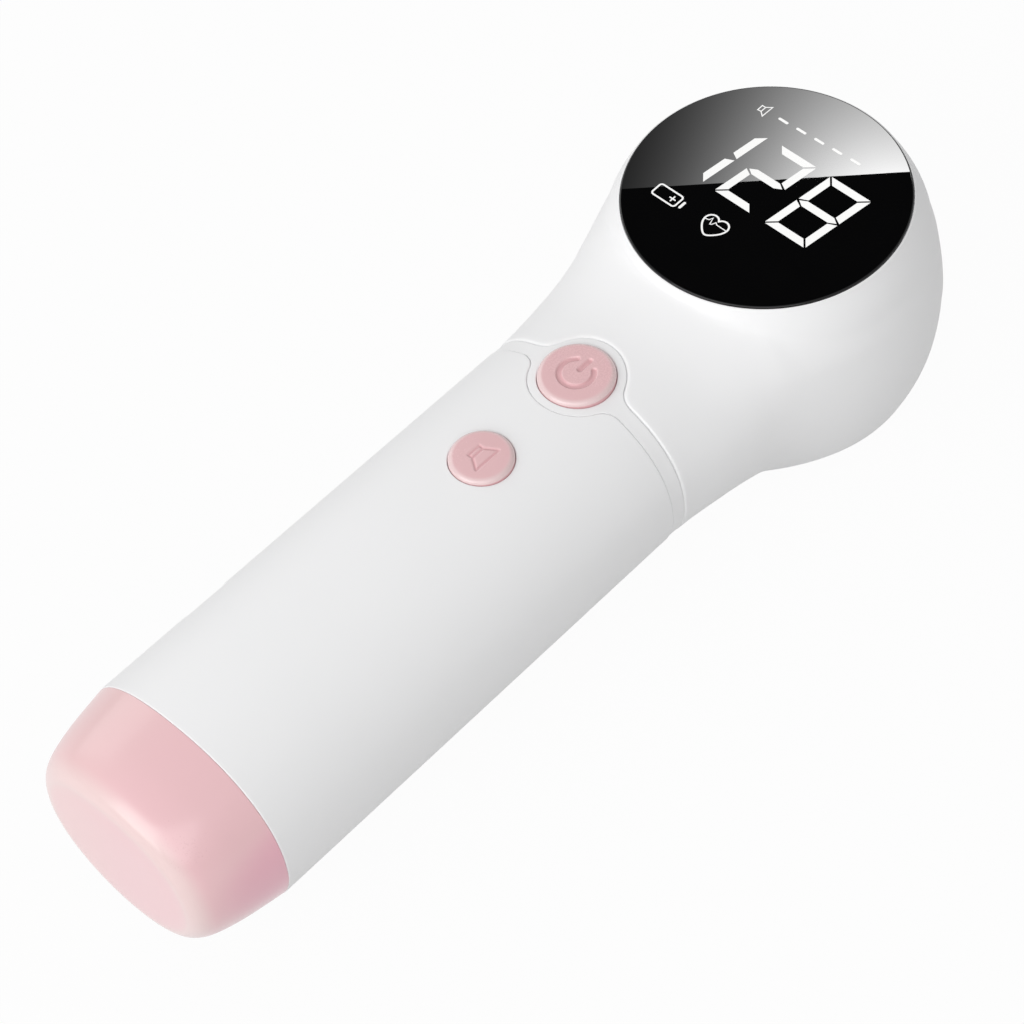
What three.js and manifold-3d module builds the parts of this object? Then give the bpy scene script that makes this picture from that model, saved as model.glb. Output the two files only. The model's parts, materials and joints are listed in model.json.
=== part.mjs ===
import * as THREE from 'three';
import { mergeVertices } from 'three/addons/utils/BufferGeometryUtils.js';
import Module from 'manifold-3d';

const wasm = await Module();
wasm.setup();

// A hand-held fetal heart monitor: a round head with a display on top and an ultrasound
// probe underneath, a neck, a collar, an oval handle and a snap-in cap at the tail.
// Millimetres, Z up. The origin is the middle of the flat probe face. X runs from the
// handle to the head and Y to the left of the person who holds the handle.

// Clearances
const fitGap = 0.3;
const cutOverrun = 5;
const weldShare = 0.001;

// Head
const headRadius = 29;
const headCentreHeight = 20;
const rimInset = 4.6;
const rimHeight = 40.7;
const rimThickness = 2;
const footInset = 3.5;
const footHeight = 1.6;
const headWall = 2;
// Height between foot and rim, and radius as a part of the head radius, from rim to foot
const headProfileShares = [[0.867, 0.931], [0.675, 0.967], [0.46, 0.997], [0.24, 0.976], [0.1, 0.931]];

// Handle: an oval tube that grows a little towards its tail
const gripHalfWidth = 21;
const gripTopAtNeck = 38;
const gripBottomAtNeck = 1.9;
const gripTopAtTail = 39.1;
const gripBottomAtTail = 0.65;
const tailDistance = 134;
const sleeveWall = 2;
// Powers of the oval above and below its middle
const topRoundingShare = 2.28;
const bottomRoundingShare = 2.05;

// Neck: how softly the head runs into the handle's oval
const neckBlend = 11;
const neckFlareShare = 0.085;
const neckFlareLength = 20;
// Part of the way from rim to foot over which the blend comes in
const blendStartShare = 0.125;
// How much closer the rows lie near the rim, and the columns near the neck
const rowCrowdingShare = 0.4;
const columnCrowdingShare = 0.3;

// Collar with a round eye about the power button
const collarDistance = 45.85;
const collarWidth = 2.7;
const collarDepth = 3.5;
const collarSpigotReach = 4.5;
const eyeRadius = 7.95;
const eyeFillet = 3.5;

// Display
const rimLedge = 0.4;
const glassStep = 0.8;
const windowPlugInset = 2.6;
const windowPlugDepth = 1;
const gasketWidth = 2.5;
const gasketThickness = 0.5;
const moduleInset = 1.6;
const moduleThickness = 5;
const moduleBezel = 2.8;
const moduleDieDepth = 0.6;
const displayBoardMargin = 1.6;
const displayPostRadius = 1.7;
const displayPostSpacing = 2.2;
const displayScrewCount = 3;

// Probe
const probeFlangeInset = 1.5;
const probeFlangeThickness = 1.2;
const probeEdgeRadius = 1;
const probeSpigotSetback = 3.4;
const probeSpigotWall = 1.8;
const probeSpigotHeight = 6.3;
const probeFloorThickness = 2;
const probeSealWidth = 2.2;
const probeSealInset = 0.6;
const lugReach = 1;
const lugWidth = 6;
const lugHeight = 1.5;
const lugCount = 3;
const faceSetback = 5.9;
const faceFlangeWidth = 2.1;
const faceFlangeThickness = 1.2;
const crystalSetback = 2.5;
const crystalThickness = 1;
const crystalSpacing = 1;
const backingThickness = 5.3;
const shieldSetback = 1.7;
const shieldWall = 0.6;
const probeBoardMargin = 2;

// Circuit boards and screws
const boardThickness = 1.6;
const mainBoardHalfWidth = 11.5;
const boardNeckReach = 11.85;
const boardTailReach = 2;
const socketEarSetback = 1.6;
const socketEarHalfLength = 7;
const screwHeadRadius = 1.8;
const screwHeadHeight = 1.2;
const screwShankRadius = 0.9;
const screwBite = 4;
const screwInset = 2.7;
const screwEndInset = 5;

// Buttons and their switches
const powerButtonRadius = 6.55;
const volumeButtonRadius = 5.4;
const volumeButtonSpacing = 21.9;
const buttonRise = 0.8;
const buttonDome = 0.75;
const buttonEdgeRadius = 0.3;
const buttonLipWidth = 0.95;
const buttonLipThickness = 1.2;
const buttonStemRadius = 2.6;
const switchSize = 6;
const switchHeight = 2.4;
const switchPocketDepth = 2;
const plungerRadius = 1.6;
const plungerHeight = 2;
const plungerRise = 0.8;

// Battery and the channel that holds it
const cellRadius = 9.1;
const cellLength = 64;
const cellTailReach = 3.4;
const cellNubRadius = 2.8;
const cellNubHeight = 1.2;
const channelLift = 1.1;
const channelWall = 1.6;
const channelEndWall = 1.6;
const boardLift = 1.9;
const railDepth = 7;
const bossRadius = 1.9;
const bossHeight = 5;
const contactThickness = 0.3;
const contactWidth = 6;
const padLength = 35;
const padWidth = 12;
const padSetback = 25.4;
const ribThickness = 1.6;
// Places of the ribs as parts of the way from collar to tail
const ribPlaceShares = [0.39, 0.89];
const ribRise = 8;

// Loudspeaker under a ring of small holes
const speakerSpacing = 15.65;
const speakerRadius = 8;
const speakerHeight = 4;
const speakerWall = 0.8;
const speakerSeatRise = 1.9;
const speakerSeatWidth = 1.8;
const coneThickness = 0.4;
const coneSurround = 0.8;
const coneDepth = 1.3;
const magnetRadius = 5;
const magnetHeight = 3;
const grilleHoleRadius = 0.6;
const grilleRingSpacing = 2.3;
const grilleHoleCounts = [1, 6, 9];

// Charging socket in the left flank
const socketTailSpacing = 22;
const socketWidth = 9;
const socketHeight = 3.2;
const socketDepth = 7;
const socketWall = 0.4;
const socketTongueThickness = 0.7;
const socketTongueWidth = 6.6;
const socketCornerRadius = 1.2;

// Chips, connectors and leads
const chipThickness = 1.2;
const processorSize = 10;
const amplifierSize = 5;
const chargerSize = 4;
// Places of the chips as parts of the board's length from the neck
const processorPlaceShare = 0.569;
const amplifierPlaceShare = 0.235;
const chargerPlaceShare = 0.92;
const connectorHeight = 2.6;
const connectorLength = 4;
const connectorWidth = 8;
const leadRadius = 0.9;
const leadBend = 4;
const leadDropShare = 0.7;
const ribbonThickness = 0.3;
const ribbonWidth = 6;

// Cap at the tail
const capLength = 15.8;
const capEdgeInset = 5.45;
// Part of the cap's length from the seam, and part of the inset reached there
const capInsetShares = [[0, 0], [0.25, 0.12], [0.5, 0.23], [0.75, 0.42], [0.92, 0.66], [1, 1]];
const capWall = 2;
const capSpigotWall = 1.5;
const capSpigotReach = 5.5;
const sealThickness = 0.5;
const sealWidth = 0.9;
const sealSetback = 3;

// Radii, heights and lengths that follow from the sizes above
const collarHalf = collarWidth / 2;
const capEnd = -tailDistance - capLength;
const gripMiddle = (gripTopAtNeck + gripBottomAtNeck) / 2;
const spigotInset = sleeveWall + fitGap;
const rimRadius = headRadius - rimInset;
const footRadius = headRadius - footInset;
const glassRadius = rimRadius - rimLedge;
const windowPlugRadius = glassRadius - windowPlugInset;
const moduleRadius = windowPlugRadius - moduleInset;
const moduleDieRadius = moduleRadius - moduleBezel;
const displayPostCircle = moduleRadius + displayPostSpacing;
const displayBoardRadius = displayPostCircle + displayBoardMargin;
const plugBottom = rimHeight - windowPlugDepth;
const moduleTop = plugBottom - gasketThickness;
const displayBoardTop = moduleTop - moduleThickness;
const displayBoardBottom = displayBoardTop - boardThickness;
const probeFlangeRadius = footRadius - probeFlangeInset;
const probeSpigotRadius = probeFlangeRadius - probeSpigotSetback;
const faceRadius = probeSpigotRadius - faceSetback;
const shieldRadius = faceRadius - shieldSetback;
const crystalRadius = shieldRadius - crystalSetback;
const probeBoardRadius = shieldRadius + probeBoardMargin;
const probeFaceTop = probeFloorThickness + faceFlangeThickness;
const crystalTop = probeFaceTop + crystalThickness;
const backingTop = crystalTop + backingThickness;
const shieldTop = backingTop + fitGap + shieldWall;
const probeBoardTop = shieldTop + boardThickness;
const channelInner = cellRadius + fitGap;
const channelOuter = channelInner + channelWall;
const cellHeight = gripBottomAtNeck + sleeveWall + channelLift + channelOuter;
const cellTailDistance = tailDistance + cellTailReach;
const channelTail = -cellTailDistance - fitGap - contactThickness;
const cellFront = -cellTailDistance + cellLength + cellNubHeight;
const channelFront = cellFront + fitGap + contactThickness + channelEndWall;
const ribHeight = cellHeight + ribRise;
const boardBottom = cellHeight + cellRadius + boardLift;
const boardTop = boardBottom + boardThickness;
const mainBoardFrontDistance = collarDistance - boardNeckReach;
const mainBoardTailDistance = tailDistance + boardTailReach;
const switchTop = boardTop + switchHeight;
const plungerTop = switchTop + plungerRise;
const volumeButtonDistance = collarDistance + volumeButtonSpacing;
const speakerDistance = collarDistance + speakerSpacing;
const speakerFloor = gripHeights(-speakerDistance).bottom + sleeveWall;
const speakerSeatHeight = speakerFloor + speakerSeatRise;
const speakerFrameBottom = speakerSeatHeight + gasketThickness;
const speakerFrameTop = speakerFrameBottom + speakerHeight;
const socketDistance = tailDistance - socketTailSpacing;
const socketMouth = gripSide(-socketDistance, boardTop + socketHeight, 0) - fitGap;
const ribbonConnectorHeight = connectorHeight / 2;
const sealDistance = tailDistance - sealSetback;

// Number of facets round each kind of piece
const headSides = { columns: 48, rows: 16 };
const innerSides = { columns: 28, rows: 8 };
const ovalSides = 36;
const innerOvalSides = 28;
const roundSides = 36;
const middleSides = 24;
const hiddenSides = 16;
const smallSides = 12;
const screwSides = 8;
const holeSides = 6;
const profileSteps = 64;
const leadSteps = 14;
const leadCurveSides = 4;
const slotCurveSides = 3;
const ribbonCurveSides = 8;
const flarePasses = 3;
const edgeSteps = 3;

const white = new THREE.MeshStandardMaterial({ color: 0xf2f2f3, roughness: 0.42, metalness: 0 });
const pink = new THREE.MeshStandardMaterial({ color: 0xeebcc0, roughness: 0.5, metalness: 0 });
const blackGlass = new THREE.MeshStandardMaterial({ color: 0x08080a, roughness: 0.06, metalness: 0 });
const paleResin = new THREE.MeshStandardMaterial({ color: 0xd9d7d0, roughness: 0.45, metalness: 0 });
const rubber = new THREE.MeshStandardMaterial({ color: 0x3a3a3c, roughness: 0.85, metalness: 0 });
const blackPlastic = new THREE.MeshStandardMaterial({ color: 0x1b1b1d, roughness: 0.5, metalness: 0 });
const circuit = new THREE.MeshStandardMaterial({ color: 0x1f5a3c, roughness: 0.5, metalness: 0 });
const ceramic = new THREE.MeshStandardMaterial({ color: 0xc9c2b0, roughness: 0.6, metalness: 0 });
const steel = new THREE.MeshStandardMaterial({ color: 0xb8babd, roughness: 0.3, metalness: 1 });
const wrap = new THREE.MeshStandardMaterial({ color: 0x2f6fae, roughness: 0.45, metalness: 0 });
const amber = new THREE.MeshStandardMaterial({ color: 0xb9742a, roughness: 0.4, metalness: 0 });

// Turns a closed three.js geometry into a solid that can be cut and joined
function toSolid(geometry) {
  const bare = geometry.clone();
  bare.deleteAttribute('normal');
  bare.deleteAttribute('uv');
  const merged = mergeVertices(bare, fitGap * weldShare);
  const vertProperties = new Float32Array(merged.attributes.position.array);
  const triVerts = new Uint32Array(merged.index.array);
  return new wasm.Manifold(new wasm.Mesh({ numProp: 3, vertProperties, triVerts }));
}

// Whole numbers from zero, one for each of a count
function countUp(count) {
  return [...Array(count).keys()];
}

function toGeometry(solid) {
  const mesh = solid.getMesh();
  const geometry = new THREE.BufferGeometry();
  geometry.setAttribute('position', new THREE.BufferAttribute(new Float32Array(mesh.vertProperties), 3));
  geometry.setIndex(new THREE.BufferAttribute(new Uint32Array(mesh.triVerts), 1));
  geometry.computeVertexNormals();
  return geometry;
}

function join(...solids) {
  return solids.reduce((sum, solid) => sum.add(solid));
}

function cut(solid, ...cutters) {
  return cutters.reduce((rest, cutter) => rest.subtract(cutter), solid);
}

// Closed skin over rings of points that all have the same number of points
function skinOver(rings) {
  const count = rings[0].length;
  const points = rings.flat();
  const index = [];
  rings.slice(1).forEach((ring, row) => {
    ring.forEach((point, column) => {
      const next = (column + 1) % count;
      const low = row * count;
      const high = low + count;
      index.push(low + column, low + next, high + next);
      index.push(low + column, high + next, high + column);
    });
  });
  const firstMiddle = points.length;
  const lastRing = (rings.length - 1) * count;
  points.push(middleOf(rings[0]), middleOf(rings[rings.length - 1]));
  rings[0].forEach((point, column) => {
    const next = (column + 1) % count;
    index.push(firstMiddle, next, column);
    index.push(firstMiddle + 1, lastRing + column, lastRing + next);
  });
  const geometry = new THREE.BufferGeometry().setFromPoints(points);
  geometry.setIndex(index);
  return geometry;
}

function middleOf(ring) {
  return ring.reduce((sum, point) => sum.add(point), new THREE.Vector3()).divideScalar(ring.length);
}

// Upright cylinder between two heights
function pillar(radius, bottom, top, sides, x = 0, y = 0) {
  const geometry = new THREE.CylinderGeometry(radius, radius, top - bottom, sides);
  geometry.rotateX(Math.PI / 2);
  return geometry.translate(x, y, (top + bottom) / 2);
}

function block(x0, x1, y0, y1, z0, z1) {
  const geometry = new THREE.BoxGeometry(x1 - x0, y1 - y0, z1 - z0);
  return geometry.translate((x0 + x1) / 2, (y0 + y1) / 2, (z0 + z1) / 2);
}

// Turned piece about the Z axis, from points of radius and height
function turned(outline, sides) {
  const points = outline.map(([radius, height]) => new THREE.Vector2(radius, height));
  const first = points[0];
  const last = points[points.length - 1];
  if (first.x > 0 || last.x > 0) points.push(first.clone());
  return new THREE.LatheGeometry(points, sides).rotateX(Math.PI / 2);
}

// Flat outline in X and Y raised between two heights
function raised(shape, bottom, top, curveSegments = smallSides) {
  const settings = { depth: top - bottom, bevelEnabled: false, curveSegments };
  return new THREE.ExtrudeGeometry(shape, settings).translate(0, 0, bottom);
}

// Flat outline in Y and Z drawn along X between two stations
function drawn(shape, tail, front, curveSegments = smallSides) {
  const settings = { depth: front - tail, bevelEnabled: false, curveSegments };
  const geometry = new THREE.ExtrudeGeometry(shape, settings);
  geometry.rotateX(Math.PI / 2);
  geometry.rotateZ(Math.PI / 2);
  return geometry.translate(tail, 0, 0);
}

// Top, bottom and middle height of the handle's oval at a station along X
function gripHeights(x) {
  const along = Math.max(0, (-x - collarDistance) / (tailDistance - collarDistance));
  const top = THREE.MathUtils.lerp(gripTopAtNeck, gripTopAtTail, along);
  const bottom = THREE.MathUtils.lerp(gripBottomAtNeck, gripBottomAtTail, along);
  return { top, bottom, middle: (top + bottom) / 2, half: (top - bottom) / 2 };
}

// Height of the handle's upper skin over a point in plan
function gripSurface(x, y, inset) {
  const { middle, half } = gripHeights(x);
  const side = Math.abs(y) / (gripHalfWidth - inset);
  return middle + (half - inset) * (1 - side ** topRoundingShare) ** (1 / topRoundingShare);
}

// Half the width of the handle's oval at a height
function gripSide(x, z, inset) {
  const { middle, half } = gripHeights(x);
  const power = z > middle ? topRoundingShare : bottomRoundingShare;
  const rise = Math.abs(z - middle) / (half - inset);
  return (gripHalfWidth - inset) * (1 - rise ** power) ** (1 / power);
}

// One oval ring of the handle, drawn in by an inset
function gripRing(x, inset, sides = ovalSides) {
  const { middle, half } = gripHeights(x);
  return countUp(sides).map((i) => {
    const angle = (i / sides) * 2 * Math.PI;
    const across = Math.cos(angle);
    const upward = Math.sin(angle);
    const power = 2 / (upward > 0 ? topRoundingShare : bottomRoundingShare);
    const y = (gripHalfWidth - inset) * Math.sign(across) * Math.abs(across) ** power;
    const z = (half - inset) * Math.sign(upward) * Math.abs(upward) ** power;
    return new THREE.Vector3(x, y, middle + z);
  });
}

// Solid oval bar through stations given as [x, inset], from the tail towards the head
function gripBar(stations, sides = ovalSides) {
  return skinOver(stations.map(([x, inset]) => gripRing(x, inset, sides)));
}

// Distance from the head's centre to its turned profile, by the angle from the top
function headReachTable(inset) {
  const span = rimHeight - footHeight;
  const points = headProfileShares.map(([height, radius]) => {
    return [radius * headRadius, footHeight + height * span];
  });
  const outline = [[rimRadius, rimHeight], ...points, [footRadius, footHeight]];
  const spline = new THREE.SplineCurve(outline.map(([r, z]) => new THREE.Vector2(r, z - headCentreHeight)));
  return spline.getPoints(profileSteps).map((point) => ({
    angle: Math.atan2(point.x, point.y),
    reach: point.length() - inset,
  }));
}

function readTable(table, angle) {
  const after = table.findIndex((entry) => entry.angle >= angle);
  if (after < 0) return table[table.length - 1].reach;
  if (after === 0) return table[0].reach;
  const a = table[after - 1];
  const b = table[after];
  return THREE.MathUtils.mapLinear(angle, a.angle, b.angle, a.reach, b.reach);
}

// Distance from the head's centre to the neck's oval tube, which closes on the head's far side
function neckReach(direction, inset) {
  const { middle, half } = gripHeights(0);
  const power = direction.z > 0 ? topRoundingShare : bottomRoundingShare;
  const width = gripHalfWidth - inset;
  const height = half - inset;
  const far = Math.max(0, direction.x);
  let flare = 1;
  let reach = 0;
  for (let pass = 0; pass < flarePasses; pass += 1) {
    const lowHeight = direction.z < 0 ? height * flare : height;
    const sum = (far / (width * flare)) ** power
      + Math.abs(direction.y / (width * flare)) ** power
      + Math.abs(direction.z / lowHeight) ** power;
    reach = sum ** (-1 / power);
    const flareEnd = neckFlareLength - collarDistance;
    const along = THREE.MathUtils.smoothstep(reach * direction.x, -collarDistance, flareEnd);
    flare = direction.x < 0 ? 1 + neckFlareShare * along : 1;
  }
  if (direction.x >= 0) return reach;
  return Math.min(reach, (collarDistance + eyeRadius + cutOverrun) / -direction.x);
}

function softMax(a, b, size) {
  const overlap = Math.max(size - Math.abs(a - b), 0) / Math.max(size, fitGap);
  return Math.max(a, b) + (overlap * overlap * size) / 4;
}

// Head and neck in one skin: the turned head and the neck's oval, blended softly
function headBody(inset, sides) {
  const table = headReachTable(inset);
  const start = Math.atan2(rimRadius, rimHeight - headCentreHeight);
  const end = Math.atan2(footRadius, footHeight - headCentreHeight);
  const softStart = THREE.MathUtils.lerp(start, end, blendStartShare);
  const rings = countUp(sides.rows + 1).map((row) => {
    const down = row / sides.rows;
    const angle = THREE.MathUtils.lerp(start, end, down * (1 - rowCrowdingShare * (1 - down)));
    const blend = neckBlend * THREE.MathUtils.smoothstep(angle, start, softStart);
    return countUp(sides.columns).map((column) => {
      const turn = (column / sides.columns) * 2 - 1;
      const azimuth = Math.PI * (1 + turn * (1 - columnCrowdingShare * (1 - turn * turn)));
      const direction = new THREE.Vector3().setFromSphericalCoords(1, angle, azimuth);
      direction.set(direction.z, direction.x, direction.y);
      const reach = softMax(readTable(table, angle), neckReach(direction, inset), blend);
      return direction.multiplyScalar(reach).add(new THREE.Vector3(0, 0, headCentreHeight));
    });
  });
  return skinOver(rings.reverse());
}

// Plan outline of the collar: a straight band with a round eye, joined by soft fillets
function collarOutline(clearance) {
  const half = collarHalf + clearance;
  const eye = eyeRadius + clearance;
  const fillet = eyeFillet - clearance;
  const filletX = half + fillet;
  const filletY = Math.sqrt((eye + fillet) ** 2 - filletX ** 2);
  const meet = Math.atan2(filletY, filletX);
  const shape = new THREE.Shape();
  shape.moveTo(half, -filletY);
  shape.absarc(filletX, -filletY, fillet, Math.PI, Math.PI - meet, true);
  shape.absarc(0, 0, eye, -meet, meet, false);
  shape.absarc(filletX, filletY, fillet, meet - Math.PI, -Math.PI, true);
  shape.absarc(-filletX, filletY, fillet, 0, -meet, true);
  shape.absarc(0, 0, eye, Math.PI - meet, Math.PI + meet, false);
  shape.absarc(-filletX, -filletY, fillet, meet, 0, true);
  return shape;
}

// Upright prism of the collar's outline, above the middle of the handle only
function eyePrism(clearance) {
  const top = rimHeight + cutOverrun;
  const geometry = raised(collarOutline(clearance), gripMiddle, top, smallSides / 2);
  return toSolid(geometry.translate(-collarDistance, 0, 0));
}

function collarBand(clearance) {
  const half = collarHalf + clearance;
  const side = gripHalfWidth + cutOverrun;
  const bottom = Math.min(gripBottomAtTail, gripBottomAtNeck) - cutOverrun;
  const top = rimHeight + cutOverrun;
  return toSolid(block(-collarDistance - half, -collarDistance + half, -side, side, bottom, top));
}

// Everything on the handle's side of a station, for trimming the neck
function tailSpace(station) {
  const side = headRadius + cutOverrun;
  return toSolid(block(capEnd, station, -side, side, -cutOverrun, rimHeight + cutOverrun));
}

function displayPostSpots() {
  return countUp(displayScrewCount).map((i) => {
    const angle = (2 * Math.PI * i) / displayScrewCount;
    return [displayPostCircle * Math.cos(angle), displayPostCircle * Math.sin(angle)];
  });
}

function headShell() {
  const outer = toSolid(headBody(0, headSides));
  const roof = rimHeight - rimThickness;
  const floor = footHeight + headWall;
  const side = headRadius + cutOverrun;
  const slab = toSolid(block(capEnd, side, -side, side, floor, roof));
  const inner = toSolid(headBody(headWall, innerSides)).intersect(slab);
  const top = rimHeight + cutOverrun;
  const window = toSolid(pillar(windowPlugRadius + fitGap, roof - cutOverrun, top, roundSides));
  const seat = toSolid(pillar(glassRadius + fitGap, rimHeight, top, roundSides));
  const foot = toSolid(pillar(probeSpigotRadius + fitGap, -cutOverrun, floor + cutOverrun, roundSides));
  const posts = displayPostSpots().map(([x, y]) => {
    return toSolid(pillar(displayPostRadius, displayBoardTop, roof + fitGap, smallSides, x, y));
  });
  const holes = displayPostSpots().map(([x, y]) => {
    const depth = displayBoardTop + screwBite + fitGap;
    const radius = screwShankRadius + fitGap;
    return toSolid(pillar(radius, displayBoardTop - cutOverrun, depth, screwSides, x, y));
  });
  const under = toSolid(block(capEnd, side, -side, side, -cutOverrun, footHeight));
  const neckEnd = tailSpace(-collarDistance + collarHalf + fitGap);
  const socketEnd = -collarDistance + collarHalf + collarSpigotReach + fitGap;
  const socketStations = [[-collarDistance - cutOverrun, headWall], [socketEnd, headWall]];
  const socket = toSolid(gripBar(socketStations, innerOvalSides));
  const shell = cut(outer, inner, socket, window, seat, foot, under, neckEnd, eyePrism(fitGap));
  return toGeometry(cut(join(shell, ...posts), ...holes));
}

function displayWindow() {
  const top = rimHeight + glassStep;
  const plug = toSolid(pillar(windowPlugRadius, plugBottom, rimHeight + glassStep / 2, roundSides));
  const pane = toSolid(pillar(glassRadius, rimHeight, top, roundSides));
  return toGeometry(pane.add(plug));
}

function ring(outer, inner, bottom, top, sides = roundSides) {
  return turned([[inner, bottom], [outer, bottom], [outer, top], [inner, top]], sides);
}

function displayModule() {
  const body = toSolid(pillar(moduleRadius, displayBoardTop, moduleTop, roundSides));
  const dieTop = moduleTop - moduleDieDepth;
  const well = toSolid(pillar(moduleDieRadius, dieTop, moduleTop + cutOverrun, roundSides));
  return toGeometry(body.subtract(well));
}

function displayBoard() {
  const board = toSolid(pillar(displayBoardRadius, displayBoardBottom, displayBoardTop, roundSides));
  const holes = displayPostSpots().map(([x, y]) => {
    const radius = screwShankRadius + fitGap;
    return toSolid(pillar(radius, displayBoardBottom - fitGap, displayBoardTop + fitGap, screwSides, x, y));
  });
  return toGeometry(cut(board, ...holes));
}

// A pan-head screw that points down, with its head's bearing face at zero height
function screw() {
  const head = toSolid(pillar(screwHeadRadius, 0, screwHeadHeight, screwSides));
  const shank = pillar(screwShankRadius, -boardThickness - screwBite, screwHeadHeight / 2, screwSides);
  return toGeometry(head.add(toSolid(shank)));
}

// Round dish that closes the head from below, held by three lugs on its spigot
function probeHousing() {
  const spigotTop = probeFlangeThickness + probeSpigotHeight;
  const inside = probeSpigotRadius - probeSpigotWall;
  const hole = faceRadius + fitGap;
  const edge = countUp(edgeSteps + 1).map((i) => {
    const angle = (i / edgeSteps) * (Math.PI / 2);
    const radius = probeFlangeRadius - probeEdgeRadius * (1 - Math.sin(angle));
    return [radius, probeEdgeRadius * (1 - Math.cos(angle))];
  });
  const outline = [
    [hole, 0],
    ...edge,
    [probeFlangeRadius, probeFlangeThickness],
    [probeSpigotRadius, probeFlangeThickness],
    [probeSpigotRadius, spigotTop],
    [inside, spigotTop],
    [inside, probeFloorThickness],
    [hole, probeFloorThickness],
  ];
  const dish = toSolid(turned(outline, roundSides));
  const lugBottom = footHeight + headWall + fitGap;
  const lugs = countUp(lugCount).map((i) => {
    const reach = probeSpigotRadius + lugReach;
    const lug = block(inside, reach, -lugWidth / 2, lugWidth / 2, lugBottom, lugBottom + lugHeight);
    const bore = toSolid(pillar(inside + probeSpigotWall / 2, 0, rimHeight, roundSides));
    return toSolid(lug.rotateZ((2 * Math.PI * i) / lugCount)).subtract(bore);
  });
  return toGeometry(join(dish, ...lugs));
}

function probeSeal() {
  const outer = probeFlangeRadius - probeSealInset;
  return ring(outer, outer - probeSealWidth, probeFlangeThickness, footHeight);
}

function acousticFace() {
  const flange = faceRadius + faceFlangeWidth;
  return turned([
    [0, 0],
    [faceRadius, 0],
    [faceRadius, probeFloorThickness],
    [flange, probeFloorThickness],
    [flange, probeFaceTop],
    [0, probeFaceTop],
  ], roundSides);
}

// Half disc of piezo ceramic; the two halves send and receive
function crystal(side) {
  const start = Math.asin(crystalSpacing / 2 / crystalRadius);
  const shape = new THREE.Shape();
  shape.absarc(0, 0, crystalRadius, start, Math.PI - start, false);
  shape.closePath();
  const geometry = raised(shape, probeFaceTop, crystalTop, smallSides);
  return side > 0 ? geometry : geometry.rotateZ(Math.PI);
}

function crystalBacking() {
  return pillar(crystalRadius, crystalTop, backingTop, middleSides);
}

function probeShield() {
  const inside = shieldRadius - shieldWall;
  const roof = shieldTop - shieldWall;
  return turned([
    [inside, probeFaceTop],
    [shieldRadius, probeFaceTop],
    [shieldRadius, shieldTop],
    [0, shieldTop],
    [0, roof],
    [inside, roof],
  ], middleSides);
}

function probeBoard() {
  return pillar(probeBoardRadius, shieldTop, probeBoardTop, middleSides);
}

function collarRing() {
  const half = collarHalf + collarSpigotReach;
  const reach = eyeRadius + cutOverrun;
  const tail = -collarDistance - reach;
  const front = -collarDistance + reach;
  const outer = toSolid(gripBar([[tail, 0], [front, 0]]));
  const boreStations = [[tail - cutOverrun, collarDepth], [front + cutOverrun, collarDepth]];
  const bore = toSolid(gripBar(boreStations, innerOvalSides));
  const spigotStations = [[-collarDistance - half, spigotInset], [-collarDistance + half, spigotInset]];
  const spigot = toSolid(gripBar(spigotStations, innerOvalSides));
  const band = outer.intersect(join(collarBand(0), eyePrism(0)));
  const holeRadius = powerButtonRadius + fitGap;
  const top = rimHeight + cutOverrun;
  const hole = toSolid(pillar(holeRadius, gripMiddle, top, middleSides, -collarDistance));
  return toGeometry(cut(band.add(spigot), bore, hole));
}

// Domed button on a stem, with a lip under the shell that keeps it in its hole
function button(radius, distance, shellDepth) {
  const surface = gripHeights(-distance).top;
  const edge = surface + buttonRise - buttonDome;
  const lip = radius + buttonLipWidth;
  const lipTop = gripSurface(-distance, lip, shellDepth) - fitGap;
  const lipBottom = lipTop - buttonLipThickness;
  const domeRadius = radius - buttonEdgeRadius;
  const domeRise = buttonDome - buttonEdgeRadius;
  const dome = countUp(edgeSteps).map((i) => {
    const angle = (i / edgeSteps) * (Math.PI / 2);
    return [domeRadius * Math.cos(angle), edge + buttonEdgeRadius + domeRise * Math.sin(angle)];
  });
  return turned([
    [0, plungerTop],
    [buttonStemRadius, plungerTop],
    [buttonStemRadius, lipBottom],
    [lip, lipBottom],
    [lip, lipTop],
    [radius, lipTop],
    [radius, edge],
    ...dome,
    [0, surface + buttonRise],
  ], middleSides);
}

function switchBody() {
  const half = switchSize / 2;
  const body = toSolid(block(-half, half, -half, half, boardTop, switchTop));
  const pocketBottom = switchTop - switchPocketDepth;
  const pocket = toSolid(pillar(plungerRadius + fitGap, pocketBottom, switchTop + cutOverrun, smallSides));
  return toGeometry(body.subtract(pocket));
}

function switchPlunger() {
  return pillar(plungerRadius, plungerTop - plungerHeight, plungerTop, smallSides);
}

// Outline of the battery channel in Y and Z: a half round with straight walls up to the board
function channelShape(clearance, top) {
  const outer = channelOuter + clearance;
  const shape = new THREE.Shape();
  shape.moveTo(outer, top);
  shape.lineTo(-outer, top);
  shape.lineTo(-outer, cellHeight);
  shape.absarc(0, cellHeight, outer, Math.PI, 2 * Math.PI, false);
  return shape;
}

function boardScrewSpots() {
  const tail = -mainBoardTailDistance + screwEndInset;
  const front = -mainBoardFrontDistance - screwEndInset;
  const side = mainBoardHalfWidth - screwInset;
  return [[tail, side], [tail, -side], [front, side], [front, -side]];
}

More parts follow.
